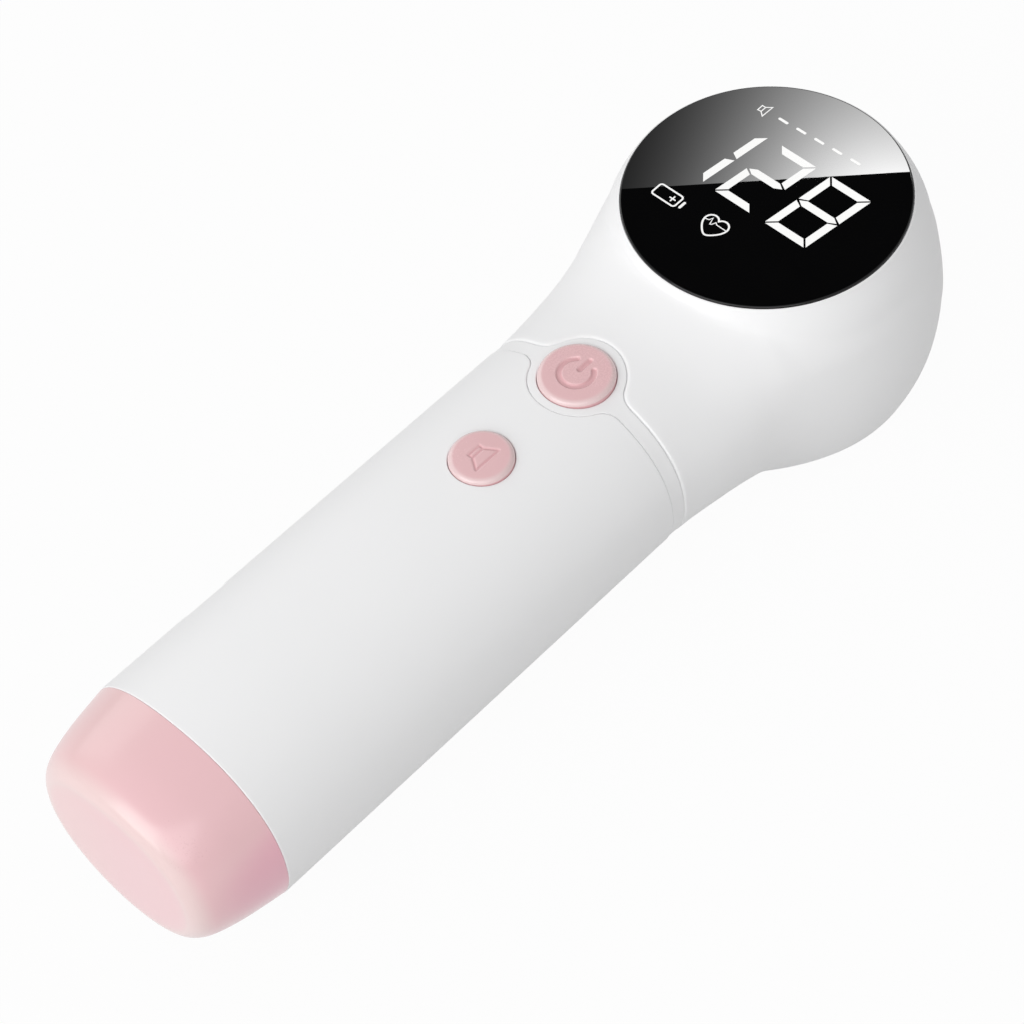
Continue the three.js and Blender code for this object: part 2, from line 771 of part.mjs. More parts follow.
// Channel for the battery, with an end wall and two rails that carry the board to the neck
function batteryChassis() {
  const railFront = -mainBoardFrontDistance - fitGap;
  const outer = toSolid(drawn(channelShape(0, boardBottom), channelTail, channelFront));
  const hollow = channelShape(-channelWall, boardBottom + cutOverrun);
  const trough = toSolid(drawn(hollow, channelTail - cutOverrun, channelFront - channelEndWall));
  const rails = [1, -1].map((side) => {
    const y0 = Math.min(side * channelInner, side * channelOuter);
    const railTail = channelFront - channelEndWall;
    const railBottom = boardBottom - railDepth;
    return toSolid(block(railTail, railFront, y0, y0 + channelWall, railBottom, boardBottom));
  });
  const bosses = boardScrewSpots().map(([x, y]) => {
    return toSolid(pillar(bossRadius, boardBottom - bossHeight, boardBottom, smallSides, x, y));
  });
  const holes = boardScrewSpots().map(([x, y]) => {
    const radius = screwShankRadius + fitGap;
    const bottom = boardBottom - screwBite - fitGap;
    return toSolid(pillar(radius, bottom, boardBottom + cutOverrun, screwSides, x, y));
  });
  return toGeometry(cut(join(cut(outer, trough), ...rails, ...bosses), ...holes));
}

function mainBoard() {
  const tail = -mainBoardTailDistance;
  const front = -mainBoardFrontDistance;
  const half = mainBoardHalfWidth;
  const main = toSolid(block(tail, front, -half, half, boardBottom, boardTop));
  const earTail = -socketDistance - socketEarHalfLength;
  const earFront = -socketDistance + socketEarHalfLength;
  const ear = toSolid(block(earTail, earFront, 0, socketMouth - socketEarSetback, boardBottom, boardTop));
  const holes = boardScrewSpots().map(([x, y]) => {
    const radius = screwShankRadius + fitGap;
    return toSolid(pillar(radius, boardBottom - cutOverrun, boardTop + cutOverrun, screwSides, x, y));
  });
  return toGeometry(cut(main.add(ear), ...holes));
}

function batteryCell() {
  const outline = [
    [0, 0],
    [cellRadius, 0],
    [cellRadius, cellLength],
    [cellNubRadius, cellLength],
    [cellNubRadius, cellLength + cellNubHeight],
    [0, cellLength + cellNubHeight],
  ];
  const geometry = turned(outline, hiddenSides).rotateY(Math.PI / 2);
  return geometry.translate(-cellTailDistance, 0, cellHeight);
}

// Nickel strip on one end of the cell, up to the underside of the board
function batteryContact(station) {
  const half = contactWidth / 2;
  return block(station, station + contactThickness, -half, half, cellHeight - half, boardBottom);
}

function batteryPad() {
  const tail = -cellTailDistance + padSetback;
  return block(tail, tail + padLength, -padWidth / 2, padWidth / 2, cellHeight + channelInner, boardBottom);
}

function socketShape(clearance) {
  const width = socketWidth / 2 + clearance;
  const low = boardTop - clearance;
  const high = boardTop + socketHeight + clearance;
  const corner = socketCornerRadius + clearance;
  const shape = new THREE.Shape();
  shape.moveTo(-width + corner, low);
  shape.absarc(width - corner, low + corner, corner, -Math.PI / 2, 0, false);
  shape.absarc(width - corner, high - corner, corner, 0, Math.PI / 2, false);
  shape.absarc(-width + corner, high - corner, corner, Math.PI / 2, Math.PI, false);
  shape.absarc(-width + corner, low + corner, corner, Math.PI, 1.5 * Math.PI, false);
  return shape;
}

// Rounded slot outline in X and Z, drawn along Y at the socket's station
function socketBar(clearance, y0, y1) {
  const settings = { depth: y1 - y0, bevelEnabled: false, curveSegments: slotCurveSides };
  const geometry = new THREE.ExtrudeGeometry(socketShape(clearance), settings);
  return toSolid(geometry.rotateX(Math.PI / 2).translate(-socketDistance, y1, 0));
}

function chargeSocket() {
  const back = socketMouth - socketDepth;
  const middle = boardTop + socketHeight / 2;
  const body = socketBar(0, back, socketMouth);
  const mouth = socketBar(-socketWall, back + socketWall, socketMouth + cutOverrun);
  const tongue = toSolid(block(
    -socketDistance - socketTongueWidth / 2,
    -socketDistance + socketTongueWidth / 2,
    back,
    socketMouth - socketWall,
    middle - socketTongueThickness / 2,
    middle + socketTongueThickness / 2,
  ));
  return toGeometry(body.subtract(mouth).add(tongue));
}

// Cross ribs inside the sleeve that hug the battery channel
function sleeveRib(distance) {
  const x0 = -distance - ribThickness / 2;
  const x1 = -distance + ribThickness / 2;
  const disc = toSolid(gripBar([[x0, sleeveWall / 2], [x1, sleeveWall / 2]], innerOvalSides));
  const side = gripHalfWidth + cutOverrun;
  const tail = x0 - cutOverrun;
  const front = x1 + cutOverrun;
  const above = toSolid(block(tail, front, -side, side, ribHeight, rimHeight + cutOverrun));
  const seat = toSolid(drawn(channelShape(fitGap, rimHeight), tail, front));
  return cut(disc, above, seat);
}

function grilleHoles() {
  return grilleHoleCounts.flatMap((count, ring) => countUp(count).map((i) => {
    const angle = (i / count) * 2 * Math.PI;
    const x = -speakerDistance + ring * grilleRingSpacing * Math.cos(angle);
    const y = ring * grilleRingSpacing * Math.sin(angle);
    return toSolid(pillar(grilleHoleRadius, -cutOverrun, speakerSeatHeight, holeSides, x, y));
  }));
}

// Ring inside the sleeve that the loudspeaker sits on
function speakerSeat() {
  const top = speakerSeatHeight;
  const outer = pillar(speakerRadius, speakerFloor - sleeveWall / 2, top, hiddenSides, -speakerDistance);
  const inside = speakerRadius - speakerSeatWidth;
  const bore = pillar(inside, speakerFloor, top + cutOverrun, hiddenSides, -speakerDistance);
  return cut(toSolid(outer), toSolid(bore));
}

function handleSleeve() {
  const front = -collarDistance - collarHalf - fitGap;
  const tail = -tailDistance + fitGap / 2;
  const outer = toSolid(gripBar([[tail, 0], [front, 0]]));
  const boreStations = [[tail - cutOverrun, sleeveWall], [front + cutOverrun, sleeveWall]];
  const bore = toSolid(gripBar(boreStations, innerOvalSides));
  const ribs = ribPlaceShares.map((share) => {
    return sleeveRib(THREE.MathUtils.lerp(collarDistance, tailDistance, share));
  });
  const holeRadius = volumeButtonRadius + fitGap;
  const top = rimHeight + cutOverrun;
  const hole = toSolid(pillar(holeRadius, gripMiddle, top, middleSides, -volumeButtonDistance));
  const slot = socketBar(fitGap, socketMouth - socketDepth / 2, gripHalfWidth + cutOverrun);
  const shell = join(cut(outer, bore), speakerSeat(), ...ribs);
  return toGeometry(cut(shell, eyePrism(fitGap), hole, slot, ...grilleHoles()));
}

function speakerGasket() {
  const outer = speakerRadius - speakerWall / 2;
  return ring(outer, speakerRadius - speakerSeatWidth, speakerSeatHeight, speakerFrameBottom, hiddenSides);
}

function speakerFrame() {
  const inside = speakerRadius - speakerWall;
  const roof = speakerFrameTop - speakerWall;
  const pole = magnetRadius / 2;
  return turned([
    [inside, speakerFrameBottom],
    [speakerRadius, speakerFrameBottom],
    [speakerRadius, speakerFrameTop],
    [pole, speakerFrameTop],
    [pole, roof],
    [inside, roof],
  ], hiddenSides);
}

function speakerCone() {
  const edge = speakerRadius - speakerWall - fitGap;
  const bottom = speakerFrameBottom + speakerWall;
  const top = bottom + coneDepth;
  const middle = magnetRadius / 2;
  return turned([
    [0, top],
    [middle, top],
    [edge - coneSurround, bottom],
    [edge, bottom],
    [edge, bottom + coneThickness],
    [edge - coneSurround, bottom + coneThickness],
    [middle, top + coneThickness],
    [0, top + coneThickness],
  ], hiddenSides);
}

function speakerMagnet() {
  return pillar(magnetRadius, speakerFrameTop, speakerFrameTop + magnetHeight, hiddenSides);
}

// Square chip on the board's upper face
function chip(placeShare, size) {
  const half = size / 2;
  const x = -THREE.MathUtils.lerp(mainBoardFrontDistance, mainBoardTailDistance, placeShare);
  return block(x - half, x + half, -half, half, boardTop, boardTop + chipThickness);
}

function ribbonConnector() {
  const x = -mainBoardFrontDistance;
  const half = connectorWidth / 2;
  return block(x - connectorLength, x, -half, half, boardTop, boardTop + ribbonConnectorHeight);
}

function leadConnector() {
  const x = -mainBoardFrontDistance;
  const half = connectorWidth / 2;
  return block(x - connectorLength, x, -half, half, boardBottom - connectorHeight, boardBottom);
}

// Screened lead from the probe board to the socket under the main board
function probeLead() {
  const start = new THREE.Vector3(-probeBoardRadius / 2, 0, probeBoardTop + fitGap);
  const endX = -mainBoardFrontDistance + fitGap;
  const endZ = boardBottom - connectorHeight / 2;
  const end = new THREE.Vector3(endX, 0, endZ);
  const rise = new THREE.Vector3(start.x, 0, start.z + leadBend);
  const bendZ = THREE.MathUtils.lerp(start.z, end.z, leadDropShare);
  const bend = new THREE.Vector3(-probeBoardRadius, 0, bendZ);
  const run = new THREE.Vector3(end.x + leadBend, 0, end.z);
  const path = new THREE.CatmullRomCurve3([start, rise, bend, run, end]);
  const section = new THREE.Shape();
  section.absarc(0, 0, leadRadius, 0, 2 * Math.PI, false);
  const settings = { extrudePath: path, steps: leadSteps, curveSegments: leadCurveSides };
  return new THREE.ExtrudeGeometry(section, settings);
}

// Ribbon that lies along the display board's underside to its edge, then bends to the connector
function displayRibbon() {
  const top = displayBoardBottom;
  const bottom = top - ribbonThickness;
  const start = -displayPostCircle / 2;
  const edge = -displayBoardRadius;
  const plug = -mainBoardFrontDistance + fitGap;
  const low = boardTop + ribbonConnectorHeight / 2;
  const high = low + ribbonThickness;
  const middle = (edge + plug) / 2;
  const shape = new THREE.Shape();
  shape.moveTo(start, top);
  shape.lineTo(edge, top);
  shape.bezierCurveTo(middle, top, middle, high, plug, high);
  shape.lineTo(plug, low);
  shape.bezierCurveTo(middle, low, middle, bottom, edge, bottom);
  shape.lineTo(start, bottom);
  const settings = { depth: ribbonWidth, bevelEnabled: false, curveSegments: ribbonCurveSides };
  const geometry = new THREE.ExtrudeGeometry(shape, settings);
  return geometry.rotateX(Math.PI / 2).translate(0, ribbonWidth / 2, 0);
}

function endCap() {
  const seam = -tailDistance - fitGap / 2;
  const stations = capInsetShares.map(([along, drawnIn]) => {
    return [THREE.MathUtils.lerp(seam, capEnd, along), drawnIn * capEdgeInset];
  });
  const outer = toSolid(gripBar(stations.reverse()));
  const mouth = seam + capSpigotReach;
  const spigotStations = [[seam - capWall, spigotInset], [mouth, spigotInset]];
  const spigot = toSolid(gripBar(spigotStations, innerOvalSides));
  const boreInset = spigotInset + capSpigotWall;
  const bore = toSolid(gripBar([
    [capEnd + capWall, boreInset + capSpigotWall],
    [capEnd + 2 * capWall, boreInset + fitGap],
    [seam - capWall, boreInset],
    [mouth + cutOverrun, boreInset],
  ], innerOvalSides));
  const grooveDepth = sealThickness + fitGap;
  const groove = sealRing(sealWidth / 2 + fitGap, sleeveWall, spigotInset + grooveDepth);
  return toGeometry(cut(outer.add(spigot), bore, groove));
}

// Oval ring about the cap's spigot, between two insets
function sealRing(halfWidth, outerInset, innerInset) {
  const back = -sealDistance - halfWidth;
  const front = -sealDistance + halfWidth;
  const outer = toSolid(gripBar([[back, outerInset], [front, outerInset]], innerOvalSides));
  const innerStations = [[back - fitGap, innerInset], [front + fitGap, innerInset]];
  return outer.subtract(toSolid(gripBar(innerStations, innerOvalSides)));
}

function endCapSeal() {
  return toGeometry(sealRing(sealWidth / 2, spigotInset, spigotInset + sealThickness));
}

const device = new THREE.Group();

function place(name, geometry, material, x = 0, y = 0, z = 0) {
  const mesh = new THREE.Mesh(geometry, material);
  mesh.name = name;
  mesh.position.set(x, y, z);
  device.add(mesh);
  return mesh;
}

place('head_shell', headShell(), white);
place('display_window', displayWindow(), blackGlass);
const displayGasket = ring(windowPlugRadius, windowPlugRadius - gasketWidth, moduleTop, plugBottom);
place('display_gasket', displayGasket, rubber);
place('display_module', displayModule(), blackPlastic);
place('display_board', displayBoard(), circuit);
displayPostSpots().forEach(([x, y], i) => {
  place(`display_screw_${i + 1}`, screw(), steel, x, y, displayBoardBottom).rotation.x = Math.PI;
});
place('display_ribbon', displayRibbon(), amber);

place('probe_housing', probeHousing(), white);
place('probe_seal', probeSeal(), rubber);
place('acoustic_face', acousticFace(), paleResin);
place('transmit_crystal', crystal(1), ceramic);
place('receive_crystal', crystal(-1), ceramic);
place('crystal_backing', crystalBacking(), rubber);
place('probe_shield', probeShield(), steel);
place('probe_board', probeBoard(), circuit);
place('probe_lead', probeLead(), blackPlastic);
place('lead_connector', leadConnector(), paleResin);

place('collar_ring', collarRing(), white);
place('power_button', button(powerButtonRadius, collarDistance, collarDepth), pink, -collarDistance);
place('power_switch_body', switchBody(), blackPlastic, -collarDistance);
place('power_switch_plunger', switchPlunger(), paleResin, -collarDistance);

place('handle_sleeve', handleSleeve(), white);
const volumeButton = button(volumeButtonRadius, volumeButtonDistance, sleeveWall);
place('volume_button', volumeButton, pink, -volumeButtonDistance);
place('volume_switch_body', switchBody(), blackPlastic, -volumeButtonDistance);
place('volume_switch_plunger', switchPlunger(), paleResin, -volumeButtonDistance);

place('battery_chassis', batteryChassis(), blackPlastic);
place('main_board', mainBoard(), circuit);
boardScrewSpots().forEach(([x, y], i) => {
  place(`board_screw_${i + 1}`, screw(), steel, x, y, boardTop);
});
place('processor_chip', chip(processorPlaceShare, processorSize), blackPlastic);
place('amplifier_chip', chip(amplifierPlaceShare, amplifierSize), blackPlastic);
place('charger_chip', chip(chargerPlaceShare, chargerSize), blackPlastic);
place('ribbon_connector', ribbonConnector(), paleResin);
place('charge_socket', chargeSocket(), steel);
place('battery_cell', batteryCell(), wrap);
place('battery_contact_tail', batteryContact(channelTail), steel);
place('battery_contact_front', batteryContact(channelFront - channelEndWall - contactThickness), steel);
place('battery_pad', batteryPad(), rubber);

place('speaker_gasket', speakerGasket(), rubber, -speakerDistance);
place('speaker_frame', speakerFrame(), steel, -speakerDistance);
place('speaker_cone', speakerCone(), blackPlastic, -speakerDistance);
place('speaker_magnet', speakerMagnet(), steel, -speakerDistance);

place('end_cap', endCap(), pink);
place('end_cap_seal', endCapSeal(), rubber);

export default device;
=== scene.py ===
# %% [markdown]
# This lesson builds a hand-held fetal heart monitor: a round head with a display on top and an
# ultrasound probe below, a neck, a collar with the power button, an oval handle with a second
# button, and a pink tail cap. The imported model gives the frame, with every part in its place.
# Everything could be modelled again, but a hidden part that already has its right shape only
# needs a finish. The skins that a person sees and touches are worked out anew on fine grids,
# because their shading has to stay smooth close up.

# %% Load the frame
import json
import math

import bmesh
import bpy
import numpy as np
from mathutils import Matrix, Vector


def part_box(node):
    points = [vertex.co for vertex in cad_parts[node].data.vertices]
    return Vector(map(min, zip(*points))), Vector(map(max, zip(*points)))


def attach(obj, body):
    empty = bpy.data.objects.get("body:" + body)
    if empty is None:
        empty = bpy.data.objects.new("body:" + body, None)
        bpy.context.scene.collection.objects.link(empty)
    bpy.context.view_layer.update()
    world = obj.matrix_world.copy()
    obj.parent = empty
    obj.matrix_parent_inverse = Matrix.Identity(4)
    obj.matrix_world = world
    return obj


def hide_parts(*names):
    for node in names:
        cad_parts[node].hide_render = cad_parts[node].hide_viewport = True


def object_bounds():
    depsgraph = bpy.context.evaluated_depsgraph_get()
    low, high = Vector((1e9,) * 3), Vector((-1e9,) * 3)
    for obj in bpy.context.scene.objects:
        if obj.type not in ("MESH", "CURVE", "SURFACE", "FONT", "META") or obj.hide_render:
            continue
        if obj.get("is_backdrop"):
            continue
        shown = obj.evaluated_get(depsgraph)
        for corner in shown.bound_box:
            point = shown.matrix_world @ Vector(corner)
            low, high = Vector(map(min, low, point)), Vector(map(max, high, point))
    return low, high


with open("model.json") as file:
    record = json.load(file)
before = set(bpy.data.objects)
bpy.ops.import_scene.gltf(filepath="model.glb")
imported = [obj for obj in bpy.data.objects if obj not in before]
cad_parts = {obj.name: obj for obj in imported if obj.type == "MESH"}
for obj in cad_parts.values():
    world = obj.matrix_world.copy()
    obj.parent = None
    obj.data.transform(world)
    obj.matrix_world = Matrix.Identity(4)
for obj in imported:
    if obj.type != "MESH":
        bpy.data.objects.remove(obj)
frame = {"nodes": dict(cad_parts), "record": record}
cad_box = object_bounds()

MM = 0.001
print("nodes in the frame:", len(frame["nodes"]))

# %% [markdown]
# The camera is a real one: a long lens about 60 cm away, high behind the tail and to its right. A
# camera can be turned by hand or told to follow a target. This one has to match a photograph,
# so its place and the three directions of its view were fitted to the display's ellipse and to
# the handle's edges. They are given as numbers and put straight into the camera's matrix.

# %% Camera
CAMERA_PLACE = (-0.28543, -0.25895, 0.47740)
CAMERA_RIGHT = (0.687076, -0.722737, -0.074686)
CAMERA_UP = (0.613450, 0.521935, 0.592675)
CAMERA_FORWARD = (0.389366, 0.453029, -0.801972)
FOCAL_SHARE = 3542.025 / 1024

camera_data = bpy.data.cameras.new("camera")
camera_data.sensor_width = 36
camera_data.lens = camera_data.sensor_width * FOCAL_SHARE
camera = bpy.data.objects.new("camera", camera_data)
bpy.context.collection.objects.link(camera)
backward = -Vector(CAMERA_FORWARD)
camera.matrix_world = Matrix((
    (CAMERA_RIGHT[0], CAMERA_UP[0], backward[0], CAMERA_PLACE[0]),
    (CAMERA_RIGHT[1], CAMERA_UP[1], backward[1], CAMERA_PLACE[1]),
    (CAMERA_RIGHT[2], CAMERA_UP[2], backward[2], CAMERA_PLACE[2]),
    (0, 0, 0, 1),
))
bpy.context.scene.camera = camera
print("lens:", round(camera_data.lens, 1), "mm")

# %% [markdown]
# A finish is a material made of nodes. Nodes can be placed by hand in the shader editor, or one
# call at a time, but a sum of five nodes is then hard to read. So an output socket is wrapped in
# a small class, and adding or multiplying two wires adds the Math node for it. Colours don't go
# this way, because a Math node would turn them grey.

# %% Arithmetic on sockets
class Wire:
    """An output socket. Arithmetic with numbers or other wires adds a Math node."""

    def __init__(self, finish, socket):
        self.finish = finish
        self.socket = socket

    def math(self, operation, *others):
        """A Math node whose first value is this wire."""
        return self.finish.math(operation, self, *others)

    def __add__(self, other):
        return self.math("ADD", other)

    def __sub__(self, other):
        return self.math("SUBTRACT", other)

    def __rsub__(self, other):
        return self.finish.math("SUBTRACT", other, self)

    def __mul__(self, other):
        return self.math("MULTIPLY", other)

    __radd__ = __add__
    __rmul__ = __mul__


print("operators on a wire: +, - and *, from both sides")

# %% [markdown]
# Every other node comes from one method, which takes the node's type, its settings and what goes
# into its sockets. The settings come first, because some of them change which sockets a node
# has. A function for every kind of node would be longer, and a reader would have to learn it.

# %% Any node by one method
class Tree:
    """The node tree of a material, or of another owner, that is being built."""

    def __init__(self, name, owner=None):
        self.material = owner or bpy.data.materials.new(name)
        self.material.use_nodes = True
        self.tree = self.material.node_tree
        self.tree.nodes.clear()

    def node(self, kind, settings=None, inputs=None, output=0):
        """A node of any kind: first its settings, then the values or wires of its sockets."""
        made = self.tree.nodes.new(kind)
        for key, value in (settings or {}).items():
            if key == "stops":
                self.set_stops(made.color_ramp, value)
            else:
                setattr(made, key, value)
        for key, value in (inputs or {}).items():
            if isinstance(value, Wire):
                self.tree.links.new(value.socket, made.inputs[key])
            else:
                made.inputs[key].default_value = value
        return Wire(self, made.outputs[output])

    def set_stops(self, ramp, stops):
        """Gives a ramp its stops, each a position and a level of grey."""
        while len(ramp.elements) < len(stops):
            ramp.elements.new(1)
        for element, (position, level) in zip(ramp.elements, stops):
            element.position = position
            element.color = (level, level, level, 1)

    def math(self, operation, *values):
        """A Math node of one operation on values or wires."""
        return self.node("ShaderNodeMath", {"operation": operation}, dict(enumerate(values)))

    def close(self, shader, end="ShaderNodeOutputMaterial"):
        """Joins a shader to the output and returns the finished material."""
        out = self.tree.nodes.new(end)
        self.tree.links.new(shader.socket, out.inputs["Surface"])
        return self.material


print("a tree starts with no nodes, and every finish adds its own")

# %% [markdown]
# A few patterns come up in every finish and get a short method of their own. All of them read
# Object coordinates. They could also read a UV map, but these skins have none, and a pattern in
# the piece's own space has no seam, looks the same from every side and rides along when the
# piece moves.

# %% Patterns of a finish
class Finish(Tree):
    """A material of patterns in the piece's own space."""

    def place(self):
        """The point of the surface, in metres."""
        return self.node("ShaderNodeTexCoord", output="Object")

    def part(self, axis):
        """One coordinate of that point."""
        return self.node("ShaderNodeSeparateXYZ", None, {"Vector": self.place()}, axis)

    def noise(self, scale, detail=2, stretch=(1, 1, 1)):
        """Cloudy grey with scale clouds to the metre, drawn out along an axis by stretch."""
        spot = self.node("ShaderNodeMapping", None, {"Vector": self.place(), "Scale": stretch})
        sockets = {"Vector": spot, "Scale": scale, "Detail": detail}
        return self.node("ShaderNodeTexNoise", None, sockets)

    def mix(self, share, first, second):
        """The first colour where share is 0, and the second where it is 1."""
        return self.node("ShaderNodeMix", {"data_type": "RGBA"}, {0: share, 6: first, 7: second}, 2)

    def ease(self, value, start, end):
        """0 before start, 1 after end, and a soft change between them."""
        ends = {"Value": value, "From Min": start, "From Max": end}
        return self.node("ShaderNodeMapRange", {"interpolation_type": "SMOOTHSTEP"}, ends)

    def bump(self, height, depth):
        """Tilts the shading as if the surface rose by height times depth metres."""
        return self.node("ShaderNodeBump", None, {"Height": height, "Distance": depth, "Strength": 1.0})

    def dress(self, **values):
        """Ends the material with a Principled shader. Underscores in a name stand for spaces."""
        sockets = {key.replace("_", " "): value for key, value in values.items()}
        return self.close(self.node("ShaderNodeBsdfPrincipled", None, sockets))


def tint(colour, factor):
    """A colour with each of its parts multiplied by the same factor."""
    return tuple(part * factor for part in colour[:3]) + (1,)


print("a white made 2 % darker:", [round(part, 3) for part in tint((0.9, 0.9, 0.905), 0.98)])

# %% [markdown]
# In a studio the object lies on white paper. Paper that is lit until it looks white throws so
# much light back that pale plastic burns out. So the floor is a plain pale one to the light, and
# only the camera, a mirror and clear glass see it as white. A share of the paint is left in that
# white, and this share takes the object's shadow.

# %% Floor
FLOOR_HALF = 3.0
FLOOR_DROP = 0.0003
FLOOR_PALE = (0.6, 0.6, 0.6, 1)
FLOOR_WHITE_SHARE = 0.96
LAMP_WHITE = (1, 1, 1, 1)


def show_stage(name, mesh, finish):
    mesh.materials.append(finish.material)
    piece = bpy.data.objects.new(name, mesh)
    bpy.context.collection.objects.link(piece)
    piece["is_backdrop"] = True
    return piece


def square_mesh(name, half, height):
    """A square with the corners (x half, y half, height), where x and y are -1 or 1."""
    mesh = bpy.data.meshes.new(name)
    corners = [(x * half, y * half, height) for x, y in ((-1, -1), (1, -1), (1, 1), (-1, 1))]
    mesh.from_pydata(corners, [], [(0, 1, 2, 3)])
    return mesh


def add_floor():
    """The floor's finish mixes matte paint with white light, by what kind of ray looks at it:
    the share of white is FLOOR_WHITE_SHARE for the three kinds that see it, and 0 for light."""
    finish = Finish("floor")
    kinds = ("Is Camera Ray", "Is Glossy Ray", "Is Transmission Ray")
    seen, mirrored, through = (finish.node("ShaderNodeLightPath", output=kind) for kind in kinds)
    direct = (seen + mirrored + through).math("MINIMUM", 1)
    matte = finish.node("ShaderNodeBsdfDiffuse", None, {"Color": FLOOR_PALE})
    white = finish.node("ShaderNodeEmission", None, {"Color": LAMP_WHITE, "Strength": 1})
    share = direct * FLOOR_WHITE_SHARE
    finish.close(finish.node("ShaderNodeMixShader", None, {0: share, 1: matte, 2: white}))
    show_stage("floor", square_mesh("floor", FLOOR_HALF, -FLOOR_DROP), finish)


add_floor()
print("floor:", 2 * FLOOR_HALF, "m wide,", FLOOR_DROP / MM, "mm below the probe")

# %% [markdown]
# The sky stands for the white walls and ceiling of the studio. A picture of a studio could light
# the scene, but it would bring its own colours. An even white sky is plain, and its strength is
# set so that the shaded sides of the white shell keep their grey. The camera alone sees it at 1.

# %% Sky
SKY_STRENGTH = 0.525


def add_sky():
    """A world whose strength is SKY_STRENGTH for light and 1 for the camera's own rays."""
    world = bpy.data.worlds.new("sky")
    bpy.context.scene.world = world
    finish = Finish("sky", world)
    seen = finish.node("ShaderNodeLightPath", output="Is Camera Ray")
    strength = SKY_STRENGTH + seen * (1 - SKY_STRENGTH)
    light = finish.node("ShaderNodeBackground", None, {"Color": LAMP_WHITE, "Strength": strength})
    finish.close(light, "ShaderNodeOutputWorld")


add_sky()
bpy.context.scene.view_settings.view_transform = "Standard"
print("sky strength:", SKY_STRENGTH)

# %% [markdown]
# Three large soft lamps give the forms their shading: the brightest behind the tail, which
# lights the cap's end and the top, a weaker one on the near side and the weakest on the far
# side. One sun would be simpler, but its hard shadows hide the soft shoulder of the head. Square
# lamps of nearly a metre, a little over a metre away, let the grey run slowly over the curves.

# %% Lamps
LAMP_DISTANCE = 1.3
LAMP_SIZE = 0.9
LAMPS = (
    ("tail_lamp", (-1.0, 0.1, 0.6), 6.7),
    ("near_lamp", (-0.8, -0.7, 0.8), 4.0),
    ("far_lamp", (0.1, 1.0, 0.6), 2.65),
)


def add_lamp(name, direction, power):
    """A square lamp at LAMP_DISTANCE times the unit direction, turned to face the origin."""
    data = bpy.data.lights.new(name, "AREA")
    data.shape = "SQUARE"
    data.size = LAMP_SIZE
    data.energy = power
    lamp = bpy.data.objects.new(name, data)
    bpy.context.collection.objects.link(lamp)
    lamp.location = Vector(direction).normalized() * LAMP_DISTANCE
    lamp.rotation_euler = (-Vector(direction)).to_track_quat("-Z", "Y").to_euler()


for lamp_row in LAMPS:
    add_lamp(*lamp_row)
print("lamps:", ", ".join(f"{name} {power} W" for name, _, power in LAMPS))

# %% [markdown]
# The display is a polished black pane, so it shows whatever stands where its mirror image
# points. A studio photographer hangs a lit card there, and that is how the pale band across the
# glass comes about. The band could be painted on the pane, but it would then stay put when the
# view moves. So there is a real card, one metre up: black on the near side of a straight line
# and growing brighter along it on the far side. Only mirror rays meet it.

# %% Card that the pane mirrors
CARD_HEIGHT = 1.0
CARD_LINE_START = (0.5812, 0.6306)
CARD_LINE_END = (0.6872, 0.5220)
CARD_REACH = 0.16
CARD_LEVEL = 8.0
CARD_GROWTH, CARD_BEND, CARD_FADE = 26.3, 191.0, 14.0


def card_finish():
    """With r the way along the line and s the way across it, the light beyond the line is
    level exp(growth r - bend r^2 - fade s), and before the line there is none."""
    finish = Finish("card")
    run, side = finish.part("X"), finish.part("Y")
    lit = side.math("GREATER_THAN", 0)
    growth = (run * (CARD_GROWTH - run * CARD_BEND) - side * CARD_FADE).math("EXPONENT")
    sockets = {"Color": LAMP_WHITE, "Strength": lit * growth * CARD_LEVEL}
    finish.close(finish.node("ShaderNodeEmission", None, sockets))
    return finish


def add_card():
    """The card's own X axis lies along the line, and its Y axis across it, away from the tail."""
    start, end = Vector(CARD_LINE_START), Vector(CARD_LINE_END)
    along = (end - start).normalized()
    across = Vector((-along.y, along.x))
    middle = (start + end) / 2
    card = show_stage("card", square_mesh("card", CARD_REACH, 0), card_finish())
    card.matrix_world = Matrix((
        (along.x, across.x, 0, middle.x),
        (along.y, across.y, 0, middle.y),
        (0, 0, 1, CARD_HEIGHT),
        (0, 0, 0, 1),
    ))
    for ray in ("camera", "diffuse", "transmission", "volume_scatter", "shadow"):
        setattr(card, "visible_" + ray, False)
    return along


card_line = add_card()
print("the card's line runs", round(math.degrees(math.atan2(card_line.y, card_line.x)), 1), "degrees off X")

# %% [markdown]
# Head, collar and sleeve are white moulded plastic with a satin skin. One flat colour would look
# like paper, and a picture of plastic would have to be laid on without seams. Two noises do it:
# a very fine one is the sparked grain of the mould, and a slow one lets shade and gloss drift by
# a little over a few centimetres, as on every real moulding. The same recipe with other numbers
# serves rubber, ceramic and the other plain plastics.

# %% Moulded plastic
CLOUD_SCALE, CLOUD_DETAIL = 28, 3
GRAIN_SCALE = 3200
GLOSS_CLOUD, GLOSS_GRAIN = 0.12, 0.04
WHITE = (0.90, 0.90, 0.905)


